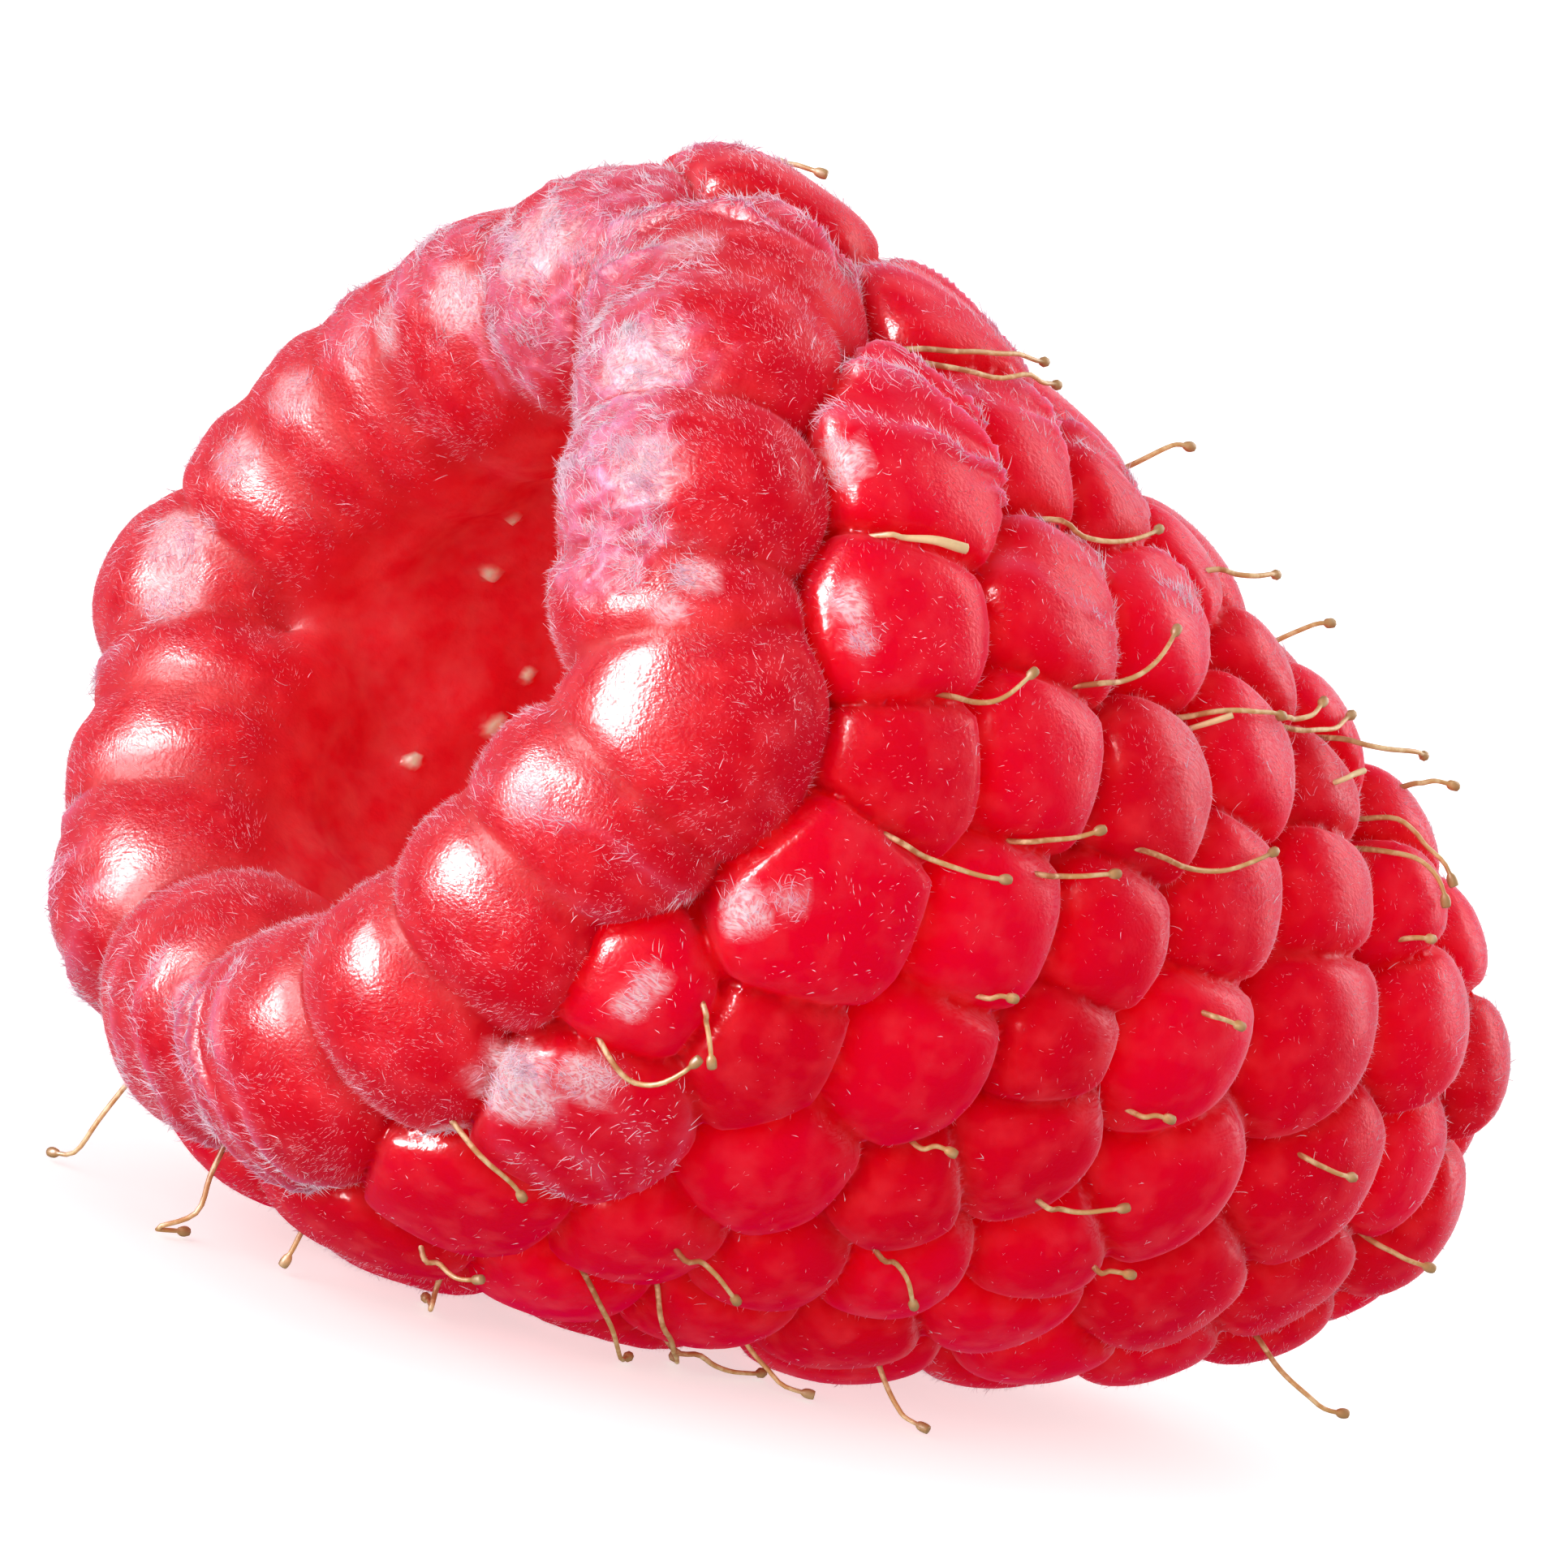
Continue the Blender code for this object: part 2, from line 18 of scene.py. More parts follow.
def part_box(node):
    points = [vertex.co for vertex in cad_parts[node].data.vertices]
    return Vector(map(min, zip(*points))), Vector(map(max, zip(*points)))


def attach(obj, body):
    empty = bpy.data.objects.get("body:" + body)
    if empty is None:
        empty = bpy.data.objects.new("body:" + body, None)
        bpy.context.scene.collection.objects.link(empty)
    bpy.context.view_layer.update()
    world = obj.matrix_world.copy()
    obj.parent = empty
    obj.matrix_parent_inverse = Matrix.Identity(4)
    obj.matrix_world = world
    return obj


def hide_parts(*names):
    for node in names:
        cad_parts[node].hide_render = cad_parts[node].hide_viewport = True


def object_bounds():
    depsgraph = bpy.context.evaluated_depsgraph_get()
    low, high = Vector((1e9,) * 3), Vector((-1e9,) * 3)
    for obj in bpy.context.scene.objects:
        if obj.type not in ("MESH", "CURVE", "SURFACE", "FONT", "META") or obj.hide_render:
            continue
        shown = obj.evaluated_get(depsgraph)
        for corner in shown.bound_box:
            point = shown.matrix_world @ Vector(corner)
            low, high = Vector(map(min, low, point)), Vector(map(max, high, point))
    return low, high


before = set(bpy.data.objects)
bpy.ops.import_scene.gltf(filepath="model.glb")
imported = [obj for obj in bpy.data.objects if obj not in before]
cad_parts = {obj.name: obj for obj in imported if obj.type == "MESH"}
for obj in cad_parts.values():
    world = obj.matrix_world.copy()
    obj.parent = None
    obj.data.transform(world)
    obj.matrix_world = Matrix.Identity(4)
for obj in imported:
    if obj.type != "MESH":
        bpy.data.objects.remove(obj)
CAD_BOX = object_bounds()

MM = 0.001
BODY = "root"
FLESH_NODE = "berry"

# Size of the whole berry, in millimetres.
ENVELOPE_RADIUS = 9.92
WIDEST_ALONG = 4.2
TIP_ALONG = 24.5
TAPER_POWER = 1.5
TAPER_ROUNDNESS = 0.55
SLOPE_STEP = 0.05
HOLLOW_RADIUS = 5.0
HOLLOW_DEPTH = 15.5
HOLLOW_ROUNDNESS = 0.6

# How it lies: the tip points down by TILT, and TURN_UP is the turn that faces straight up.
TILT = 15.0
TURN_UP = 17.2

# Shape of a drupelet.
DOME_DEPTH = 1.9
DOME_FULLNESS = 2.3
DOME_SPREAD = 1.33
EDGE_SHARPNESS = 12
SEAM_OVERLAP = 0.03
MEETING_RANGE = 3.0
LEAST_DEPTH = 1.0
LEAST_SLOPE = 0.35
INNER_END_COVER = 0.4
BESIDE_RIM_ALONG = 5.7
BESIDE_RIM_SPREAD = 1.2
RIM_RADIUS = 7.3
RIM_LEAN = 40.0
RIM_REACH = 2.3
RIM_SHARE = 0.54

# Drupelets round the rim: turn, along, half width, and how far it stands out of the ring.
RIM = (
    (34, 1.8, 1.85, 0.1), (52, 1.1, 1.40, 0.0), (71, 0.9, 1.25, 0.0), (86, 1.4, 1.05, -0.2),
    (98, 2.0, 1.85, 0.4), (114, 1.6, 1.35, 0.0), (129, 1.5, 1.30, 0.0), (148, 1.5, 1.35, 0.0),
    (170, 1.5, 1.90, 0.0), (198, 1.3, 1.65, -0.4), (228, 1.2, 1.65, -0.3), (247, 1.1, 1.10, -0.7),
    (261, 1.3, 1.05, -0.8), (276, 1.1, 1.50, 0.3), (296, 1.2, 1.20, -0.5), (311, 1.2, 1.05, -0.8),
    (325, 1.3, 1.10, -1.0), (345, 1.2, 1.65, -1.0), (10, 1.3, 1.65, -0.4),
)

# Drupelets on the side: turn, along, half width and lift above the envelope. The rest are placed by rule.
SIDE = (
    (13, 3.0, 1.65, 0.3), (60, 3.7, 1.90, 0.1), (78, 4.2, 1.45, 0.0), (92, 5.3, 1.25, 0.0),
    (108, 5.0, 1.80, 0.1), (126, 3.2, 0.95, -0.1), (141, 3.7, 1.90, 0.1), (160, 3.8, 1.60, 0.0),
    (179, 4.2, 1.40, 0.0), (31, 5.6, 1.45, 0.1), (46, 6.4, 1.35, 0.0), (66, 7.4, 1.50, 0.0),
    (83, 7.8, 1.45, 0.0), (102, 8.2, 1.50, 0.0), (119, 8.4, 1.55, 0.0), (125, 5.6, 1.25, 0.0),
    (138, 7.6, 1.50, 0.0), (154, 6.9, 1.35, 0.0), (171, 7.2, 1.40, 0.0), (41, 8.9, 1.25, 0.0),
    (54, 10.3, 1.35, 0.0), (39, 11.4, 1.20, 0.0), (78, 10.8, 1.35, 0.0), (96, 10.9, 1.20, 0.0),
    (110, 11.0, 1.10, 0.0), (123, 11.8, 1.45, 0.0), (135, 10.3, 1.15, 0.0), (147, 11.7, 1.25, 0.0),
    (152, 9.6, 1.35, 0.0), (167, 9.9, 1.35, 0.0), (46, 13.2, 1.20, 0.1), (62, 13.0, 1.40, 0.0),
    (83, 13.2, 1.50, 0.0), (103, 13.7, 1.55, 0.0), (121, 15.2, 1.55, 0.0), (137, 14.0, 1.25, 0.0),
    (150, 14.4, 1.40, 0.0), (165, 12.7, 1.30, 0.0), (39, 15.8, 1.20, 0.2), (54, 15.5, 1.15, 0.0),
    (69, 16.0, 1.25, 0.0), (90, 16.9, 1.60, 0.0), (111, 18.8, 1.55, -0.1), (142, 17.5, 1.55, 0.0),
    (164, 16.8, 1.35, 0.0), (41, 18.3, 1.20, 0.4), (56, 18.4, 1.10, 0.4), (72, 19.6, 1.45, 0.4),
    (97, 21.3, 1.25, -0.2), (60, 21.9, 1.25, 0.5), (40, 20.7, 1.15, 0.5), (140, 20.5, 1.30, -0.2),
)

# The rule for the other drupelets: half widths at the mouth end and at the tip, and how tightly they pack.
FILL_WIDE = 1.62
FILL_NARROW = 1.15
FILL_FIRST_ALONG = 3.1
FILL_PACKING = 0.93
SETTLING_ROUNDS = 12
PATCH_TURN = 3.0
PATCH_ALONG = 0.25
HEXAGON_HALF_WIDTH = 0.537
RIM_COVER = 0.7
LAST_ALONG = TIP_ALONG - 0.1

# The flesh that joins the drupelets, between the hollow and the creases.
WALL_BELOW = 1.5
WALL_START = 1.5
WALL_END = 22.0
WALL_TIP = 0.4
WALL_SIDES = 48
WALL_STEPS = 12

# A dry style: a thread with a knob at its tip. Its root is this far down in the flesh, and the rest is pushed
# clear of the flesh and the floor.
KNOB_LENGTH = 0.2
STYLE_STEPS = 6
STYLE_SPACING = 0.16
STYLE_ROOT = 0.2
STYLE_CLEARANCE = 0.13
STYLE_PUSH = 0.05
STYLE_PUSHES = 60
FLOOR_GAP = 0.15
SEARCH_HEIGHT = 3.0

# Styles: turn and along of the root, turn and along and height of the tip, and the sideways bow.
STYLES = (
    (47, 3.1, 31, 7.3, 0.3, -0.25), (48, 3.4, 33, 7.6, 0.2, -0.35), (57, 6.4, 47, 9.6, 0.2, -0.5),
    (72, 2.9, 70, 4.5, 0.3, 0.0), (84, 4.9, 77, 6.6, 0.2, -0.35), (74, 7.9, 60, 9.9, 0.2, -0.4),
    (99, 5.0, 97, 7.6, 0.2, -0.15), (93, 7.7, 87, 9.2, 0.1, -0.05), (95, 8.2, 90, 9.9, 0.1, -0.05),
    (86, 10.1, 76, 13.3, 0.2, -0.45), (66, 10.9, 58, 13.1, 0.2, 0.0), (66, 11.4, 64, 11.7, 0.1, 0.0),
    (58, 13.0, 49, 14.3, 0.4, -0.2), (57, 13.3, 42, 15.6, 0.3, -0.3), (57, 15.1, 53, 15.6, 0.4, 0.0),
    (47, 15.0, 37, 17.5, 1.0, -0.3), (57, 16.6, 60, 18.3, 0.3, 0.35), (50, 16.6, 54, 18.6, 0.3, 0.4),
    (67, 18.0, 65, 18.4, 0.1, 0.0), (43, 11.2, 36, 13.0, 0.7, -0.2), (33, 9.6, 30, 10.6, 1.0, 0.0),
    (35, 14.0, 32, 14.8, 0.9, 0.0), (39, 17.6, 37, 18.3, 1.2, 0.0), (131, 2.6, 126, 4.0, 0.5, -0.7),
    (122, 3.7, 127, 4.5, 0.2, 0.0), (149, 1.8, 151, 3.9, 0.2, 0.2), (171, 4.2, 166, 5.1, 0.3, -0.3),
    (180, 5.8, 188, 6.5, 0.9, 0.0), (186, 3.5, 189, 4.0, 1.9, 0.0), (192, 1.9, 195, 2.6, 1.6, 0.0),
    (212, 1.4, 214, 1.6, 2.2, 0.0), (160, 6.2, 177, 9.4, 0.5, 0.3), (150, 6.9, 153, 8.8, 0.3, 0.2),
    (163, 8.3, 180, 10.6, 0.3, 0.3), (141, 10.2, 146, 11.8, 0.2, 0.2), (127, 12.1, 123, 13.9, 0.2, -0.2),
    (98, 13.1, 97, 14.0, 0.1, 0.0), (134, 14.5, 133, 15.4, 0.1, 0.0), (108, 17.5, 107, 18.7, 0.1, 0.0),
    (121, 21.5, 118, 22.2, 0.5, 0.0), (153, 20.5, 150, 21.5, 1.6, 0.0), (172, 9.5, 179, 12.3, 0.3, 0.2),
    (168, 13.6, 165, 14.2, 1.0, 0.0), (176, 11.3, 172, 12.7, 0.6, 0.0), (10, 2.6, 14, 3.4, 0.6, 0.0),
    (109, 8.4, 107, 9.0, 0.1, 0.1), (127, 9.3, 125, 9.9, 0.1, 0.1), (113, 13.0, 111, 13.7, 0.1, 0.1),
)

# More styles, on the side away from these, spaced by a constant turn and step.
FAR_STYLES = 10
FAR_FIRST = (238.0, 3.6)
FAR_TURN = 61.0
FAR_TURNS = (236.0, 372.0)
FAR_STEP = 1.7
FAR_LENGTH = 2.2
FAR_BEND = 9.0
FAR_HEIGHT = 0.3
FAR_BOW = 0.25

# The fine skin of the flesh.
SKIN_SUBDIVISIONS = 4
SKIN_VOXEL = 0.10
SKIN_TRIANGLES = 196000
OWNER_REACH = 4.5
BARE_GAP = 0.12
SMOOTHING_ROUNDS = 40

# Noise is read this far away for each next seed.
RIPPLE_SHIFT = (17.3, -9.1, 5.7)

# Lumps and wrinkles in the skin: the size and the depth of each kind.
LUMP_SIZE = 1.5
LUMP_DEPTH = 0.06
WRINKLE_SIZE = 0.55
WRINKLE_DEPTH = 0.17
WRINKLE_BEND = 0.6
WRINKLE_SHARPNESS = 2.2
WRINKLE_COARSE = 0.65
HOLLOW_LUMP_SIZE = 1.3
HOLLOW_LUMP_DEPTH = 0.28

# The hollow: how far its wall's colour reaches, where along the axis it starts and deepens, and the distances
# from the axis between which the wall is smoothed.
HOLLOW_MARGIN = 1.1
HOLLOW_ENTRY = (0.4, 2.2)
HOLLOW_DEEPENS = (2.5, 9.5)
HOLLOW_END = HOLLOW_DEPTH + 1.0
LINING = (5.0, 7.2)

# Creases between drupelets: their width on the side, and on the rim how far they are filled and softened.
# Where the drupelets near the camera start, at these turns, the rim's creases stay deeper.
CREASE_WIDTH = 0.7
RIM_CREASE_WIDTH = 1.1
RIM_SOFTNESS = 0.9
LEAST_SOFTNESS = 0.35
RIM_FILL = 0.38
DISTINCT = 0.75
DISTINCT_TURNS = (82.0, 96.0)
# Every drupelet of the rim takes the darker red in full: painted shade on the rim.
RIM_PAINTED_SHADE = 1.0

# Side drupelets are puffed: raised in the middle and drawn in at the edge.
PUFF = 0.22
PUFF_WIDTH = 1.1
PUFF_LEVEL = 0.6

# Patches of loose, wrinkled skin, pale partly from dense down and partly as painted sheen: turn, along,
# distance from the axis, radius, and how strongly.
LOOSE_SKIN_SHEEN_PATCHES = (
    (42, -0.6, 8.0, 1.3, 0.45), (57, -1.0, 7.4, 1.8, 0.85), (69, -1.1, 7.4, 1.6, 1.0),
    (80, -0.9, 7.5, 1.5, 0.9), (22, -0.7, 7.0, 2.0, 0.75), (10, -0.6, 6.0, 1.9, 0.7),
    (14, -0.2, 8.3, 1.9, 0.5), (347, -0.7, 6.6, 1.2, 0.6), (327, -0.7, 6.2, 0.8, 0.4),
)

# Painted glints: white spots that stand in for highlights, with dense down on them: turn, along, distance
# from the axis, radius, and how strongly.
PAINTED_GLINTS = (
    (112, 3.4, 9.9, 0.50, 0.9), (109, 3.9, 10.0, 0.30, 0.7), (140, 2.2, 9.7, 0.80, 0.9),
    (135, 2.9, 9.9, 0.55, 0.8), (126, 2.6, 9.9, 0.35, 0.8), (123, 2.7, 9.9, 0.35, 0.8),
    (80, 2.8, 9.8, 0.40, 0.9), (83, 3.2, 9.8, 0.30, 0.8), (66, 2.1, 9.7, 0.50, 0.8),
    (84, 0.2, 9.1, 0.40, 0.7), (81, -0.1, 8.9, 0.35, 0.6), (89, 0.0, 8.9, 0.35, 0.7),
    (57, -0.9, 8.0, 0.80, 0.7), (74, -0.8, 8.4, 0.70, 0.7), (15, -1.0, 7.0, 0.90, 0.7),
    (356, -0.8, 5.8, 0.70, 0.6), (337, -0.9, 5.7, 0.55, 0.5), (312, -1.0, 6.0, 0.55, 0.5),
    (297, -1.0, 6.1, 0.50, 0.5), (281, -0.9, 6.6, 0.80, 0.6), (273, -0.7, 6.2, 0.60, 0.6),
    (114, -0.5, 8.3, 0.50, 0.3), (36, -0.2, 8.9, 0.60, 0.4), (151, 2.3, 9.6, 0.40, 0.6),
)

# Drupelets strewn with white flecks: turn, along, distance from the axis, radius, and how strongly.
FLECKED = (
    (108, 5.2, 9.9, 1.6, 1.0), (141, 4.0, 9.9, 1.7, 1.0), (78, 4.6, 9.9, 1.1, 0.5),
    (117, 3.0, 9.6, 1.2, 0.5), (126, 3.4, 9.9, 0.8, 0.5), (92, 5.6, 9.9, 1.0, 0.3),
    (66, 7.4, 9.5, 1.2, 0.3), (83, 7.8, 9.5, 1.2, 0.2), (300, 6.0, 9.8, 2.0, 0.4),
    (250, 9.0, 9.3, 2.2, 0.4), (340, 11.0, 9.0, 2.0, 0.4), (220, 14.0, 7.8, 2.0, 0.4),
)

# Pleated drupelets: turn and along, the turn and along where the pleats run together, the distance
# between pleats in the middle of the drupelet, their depth, and the side that has them (1 is towards
# higher turns, -1 lower).
PLEATED = (
    (34, 1.8, 47, 3.9, 0.80, 0.45, -1), (13, 3.0, 22, 6.0, 0.75, 0.16, -1),
    (60, 3.7, 55, 6.6, 0.85, 0.28, -1), (46, 6.4, 46, 9.2, 0.80, 0.24, -1),
    (41, 8.9, 40, 11.4, 0.75, 0.20, -1), (54, 10.3, 51, 12.8, 0.80, 0.14, -1),
    (66, 7.4, 62, 9.8, 0.85, 0.10, -1), (31, 5.6, 35, 8.4, 0.75, 0.18, -1),
    (170, 1.5, 170, 9.0, 0.66, 0.24, 1), (198, 1.3, 196, 9.0, 0.75, 0.16, -1),
    (325, 1.3, 325, 7.0, 0.70, 0.14, 0), (228, 1.2, 226, 8.0, 0.95, 0.12, 0),
    (261, 1.3, 261, 7.0, 0.85, 0.12, 0), (114, 1.6, 114, 6.0, 0.95, 0.04, 0),
    (141, 3.7, 150, 6.6, 0.85, 0.04, 0),
)

# How sharp the pleats are, how far they waver, and where they fade out: at the drupelet's edge, where they
# run together, across its middle where only one side has them, and towards the axis.
PLEAT_SHARPNESS = 2.0
PLEAT_LEVEL = 0.3
PLEAT_FULL = 0.10
PLEAT_WAVER = 0.5
PLEAT_WAVER_SIZE = 1.3
PLEAT_PATCH_SIZE = 1.0
PLEAT_USUAL = 0.75
PLEAT_UNEVEN = 0.8
PLEAT_PATCHES = (0.25, 1.1)
PLEATS_FROM_EDGE = (0.02, 0.3)
PLEATS_FROM_MEETING = (0.1, 0.8)
PLEATS_SIDED = (-0.5, 0.5)
PLEATS_OUTSIDE = (6.2, 7.4)

# Pale scars where the core was attached: turn, along and radius.
SCARS = (
    (306, 3.7, 0.22), (278, 5.3, 0.26), (262, 4.1, 0.20), (291, 5.4, 0.16), (316, 6.3, 0.24),
    (320, 3.2, 0.14), (240, 6.2, 0.24), (20, 8.0, 0.22), (75, 9.4, 0.24), (130, 8.4, 0.26),
    (180, 9.6, 0.22), (340, 12.0, 0.24), (100, 12.2, 0.22), (215, 11.8, 0.24), (150, 13.0, 0.2),
    (200, 5.0, 0.2), (50, 4.6, 0.22), (160, 5.4, 0.2), (110, 4.8, 0.2),
)

# Scars stand this high. Their edges are ragged at this size and by this share of the radius, and fade from
# this share of it.
SCAR_HEIGHT = 0.14
SCAR_RAGGED = 0.3
SCAR_UNEVEN = 0.5
SCAR_CORE = 0.6

# The edges of the other patches: how uneven they are, coarsely and finely, and the shares of the radius
# between which they fade. Then the size of the unevenness on each kind.
PATCH_COARSE = 0.3
PATCH_FINE = 0.25
PATCH_FADE = (0.65, 1.05)
LOOSE_SKIN_RAGGED = 0.9
GLINT_RAGGED = 0.5
FLECK_RAGGED = 0.6
LOOSE_SKIN_EDGE = (0.0, 0.25)
GLINT_EDGE = (0.0, 0.15)

# The fields that the flesh's material reads.
FLESH_FIELDS = (
    "top", "hollow", "deep", "loose_skin_sheen", "painted_glint", "tone_and_shade", "pleat",
    "wrinkle", "scar", "dull", "fuzz", "velvet", "painted_sheen_band",
)

# Colours, in linear light.
CREASE_RED = (0.90, 0.0, 0.012)
# Darker red: a random tone on the side's drupelets, and painted shade on the rim's.
DARK_TONE_AND_SHADE_RED = (0.58, 0.0, 0.013)
TOP_RED = (0.90, 0.0, 0.046)
# Pale pink of the down, and painted sheen on loose skin and on pleat ridges.
DOWN_AND_SHEEN_PINK = (0.84, 0.34, 0.54)
# White of the painted glints, which stand in for highlights.
GLINT_WHITE = (0.97, 0.78, 0.82)
VELVET_PINK = (1.0, 0.62, 0.68)
# Pale pink of the painted sheen bands.
SHEEN_BAND_PINK = (0.95, 0.52, 0.60)
HOLLOW_RED = (0.99, 0.105, 0.115)
HOLLOW_DEEP_RED = (0.90, 0.020, 0.052)
SCAR_CREAM = (1.0, 0.80, 0.60)
DOWN_WHITE = (0.98, 0.82, 0.90)
DOWN_PINK = (0.95, 0.56, 0.72)
STYLE_ROOT_BROWN = (0.42, 0.07, 0.025)
STYLE_TAN = (0.72, 0.38, 0.15)
STYLE_CREAM = (0.90, 0.66, 0.38)
STYLE_TIP_BROWN = (0.42, 0.24, 0.11)

# Light through the flesh: how far red, green and blue light travels in it, in millimetres.
LIGHT_REACH = (1.0, 0.12, 0.16)
LIGHT_REACH_MM = 1.6

# The down hides the skin's gloss where it turns away from the viewer: gloss fades and sheen rises between
# these shares, up to this sheen.
MATT_EDGE = (0.40, 0.70)
VELVET_EDGE = (0.45, 0.85)
VELVET_SHEEN = 0.9

# Noise in the materials, in millimetres: the skin's mottle and grain, the down's mottle, and the skin's
# fibres by their length, width and how far they wander.
MOTTLE_SIZE = 0.6
GRAIN_SIZE = 0.08
DOWN_MOTTLE_SIZE = 0.8
FIBRE_LENGTH = 0.22
FIBRE_WIDTH = 0.045
FIBRE_DRIFT = 0.9

# Where noise turns into colour, and the greatest shares of the colours that are mixed in.
MOTTLED = (0.45, 0.75)
LINING_MOTTLED = (0.35, 0.65)
LOOSE_SKIN_MOTTLED = (0.3, 0.6)
FIBROUS = (0.35, 0.6)
MOTTLE_SHARE = 0.35
TONE_AND_SHADE_SHARE = 0.65
LOOSE_SKIN_SHEEN_SHARES = (0.35, 1.0)
# Pleat ridges are painted paler, partly for their down and partly as painted highlight.
PLEAT_RIDGE_SHEEN_SHARE = 0.45
FUZZ_SHARE = 0.03
SHEEN_BAND_SHARES = (0.1, 0.42)
GLINT_SHARES = (0.4, 1.0)

# The skin's gloss and relief: grain moves the roughness, and each kind of noise has its part of the height.
GRAINY = (0.3, 0.7)
ROUGHNESS = (0.34, 0.46)
DULL_ROUGHNESS = 0.25
COAT = (0.34, 0.05)
COAT_DULLED = 0.5
RELIEF_DEPTH = 0.014
RELIEF_STRENGTH = 0.8
MOTTLE_RELIEF = 0.6
WRINKLE_RELIEF = 0.8
FIBRE_RELIEF = (0.15, 0.9)

# Painted sheen on the side, paler where the skin faces one way, as if light from behind caught the down: the
# way it faces, how squarely, where it starts along the axis, and its patches.
SHEEN_BAND_WAY = (0.66, -0.40, 0.62)
SHEEN_BAND_FACING = (0.45, 0.90)
SHEEN_BAND_ALONGS = (5.0, 11.0)
SHEEN_BAND_LEAST = 0.2
SHEEN_BAND_PATCH_SIZE = 0.9
SHEEN_BAND_USUAL = 0.6
SHEEN_BAND_UNEVEN = 0.5

# Velvet, the finest down: on the rim, and on the side's upper part and towards the tip, where the skin faces
# up or tipwards. DIAGONAL brings the sum of those two directions back to about 1.
VELVET_RIM = 0.45
VELVET_UPPER = 0.6
VELVET_ALONGS = (7.0, 15.0)
VELVET_RISEN = (-0.1, 0.7)
DIAGONAL = 0.7
VELVET_LEAST = 0.2
VELVET_IN_CREASES = 0.3

# Fuzz, the standing down: how thick it is on the rim, everywhere on the side, and more in three parts of it.
# It is thinner in creases, and thicker on darker drupelets, whether darker in tone or as painted shade, and
# on loose skin and painted glint spots.
FUZZ_RIM = 0.7
FUZZ_SIDE = 0.05
FUZZ_UPPER = 0.35
FUZZ_TIP = 0.22
FUZZ_BEHIND = 0.35
UPPER_TURNS = (40.0, 100.0)
TIP_ALONGS = (15.0, 21.0)
BEHIND_TURNS = (20.0, 60.0)
FUZZ_IN_CREASES = 0.25
FUZZ_LEAST = 0.6
FUZZ_ON_DARK = 0.8
FUZZ_LOOSE_AND_GLINTS = 1.6
FUZZ_ON_GLINTS = 1.5

# Down stands in clumps, lies toward the mouth in swirls, and ends where the hollow's share is this high.
CLUMP_SIZE = 0.45
CLUMPED = (-0.25, 0.45)
CLUMP_LEAST = 0.3
DOWN_ENDS = 0.5
SWIRL_SIZE = 1.1
SWIRL = 1.8
DISORDER = 0.45

# The down's hairs: pale thin spikes in a few pieces, by their width, lengths and leans.
DOWN_SEED = 7
DOWN_PIECES = 3
DOWN_HAIRS = 42000
DOWN_WIDTH = 0.008
DOWN_LENGTH = (0.05, 0.15)
DOWN_LEAN = (20.0, 74.0)
DOWN_SUNK = 0.02
HAIR_TWIST = 0.3

# Flecks: thick flat hairs on patches, on the painted glint spots, and a few all over.
FLECKS = 3500
FLECK_WIDTH = 0.032
FLECK_LENGTH = (0.07, 0.20)
FLECK_LEAN = (74.0, 88.0)
FLECK_CLUMP = 0.2
FLECK_LEAST = 0.03
FLECKS_ON_GLINTS = 0.8

# Strands: long curved hairs that lie on loose skin and on painted glint spots, and a few where there is fuzz.
STRANDS = 9000
STRAND_RINGS = 3
STRAND_WIDTH = 0.020
STRAND_TAPER = 0.6
STRAND_LENGTH = (0.12, 0.36)
STRAND_LEAN = (55.0, 86.0)
STRAND_BEND = 0.7
STRAND_SHARE = 0.03

# The detail of a style: its rings, the radii of its thread and its knob, and the thread's taper. The knob's
# middle, end and neck are measured back from the tip in lengths of the knob.
LINE_POINTS = 80
CURVE_STEPS = 12
TUBE_REFERENCE = (0.3, 0.5, 0.8)
STYLE_SIDES = 8
STYLE_RINGS = 26
KNOB_RINGS = 9
STYLE_THREAD = 0.046
THREAD_ROOT = 1.15
THREAD_TAPER = 0.3
STYLE_KNOB = 0.095
KNOB_MIDDLE = 0.45
KNOB_NECK = 1.2
KNOB_END = 1.3

# Each thread wavers this far and over this length, from nothing at its root.
STYLE_WAVE = 0.012
STYLE_WAVE_LENGTH = 1.5
STYLE_WAVE_START = (0.0, 0.6)
STYLE_WAVE_SHIFT = 1.7

# Styles that are broken off, and by what share of its radius each widens at the torn end.
BROKEN_STYLES = {4: 1.5, 12: 0.5, 15: 0.5}
TORN_WIDENS = (0.3, 1.0)

# A style's colours: between which shares of its length each starts, and the greatest share mixed in.
ROOT_FADES = (0.0, 0.5)
TIP_DARKENS = (0.82, 0.95)
TIP_SHARE = 0.7
TORN_PALES = (0.1, 0.4)
TORN_SHARE = 0.75
STREAK_SIZE = 0.25
STREAKED = (0.45, 0.65)
STREAK_SHARE = 0.8
STREAK_DEPTH = 0.01
STREAK_STRENGTH = 0.5
STYLE_ROUGHNESS = (0.4, 0.65)

# Camera: an upright picture with this many millimetres across it at the berry, and this far away.
PICTURE_SPAN = 26.833
CAMERA_DISTANCE = 220.0
CAMERA_RIGHT = (0.759, -0.5455, 0.3553)
CAMERA_UP = (-0.424, 0.0, 0.9056)
CAMERA_TOWARD = (-0.494, -0.838, -0.2313)
AIM_RIGHT = 6.86
AIM_UP = -2.694
SENSOR = 36.0
NEAREST_SEEN = 0.001
FURTHEST_SEEN = 10.0

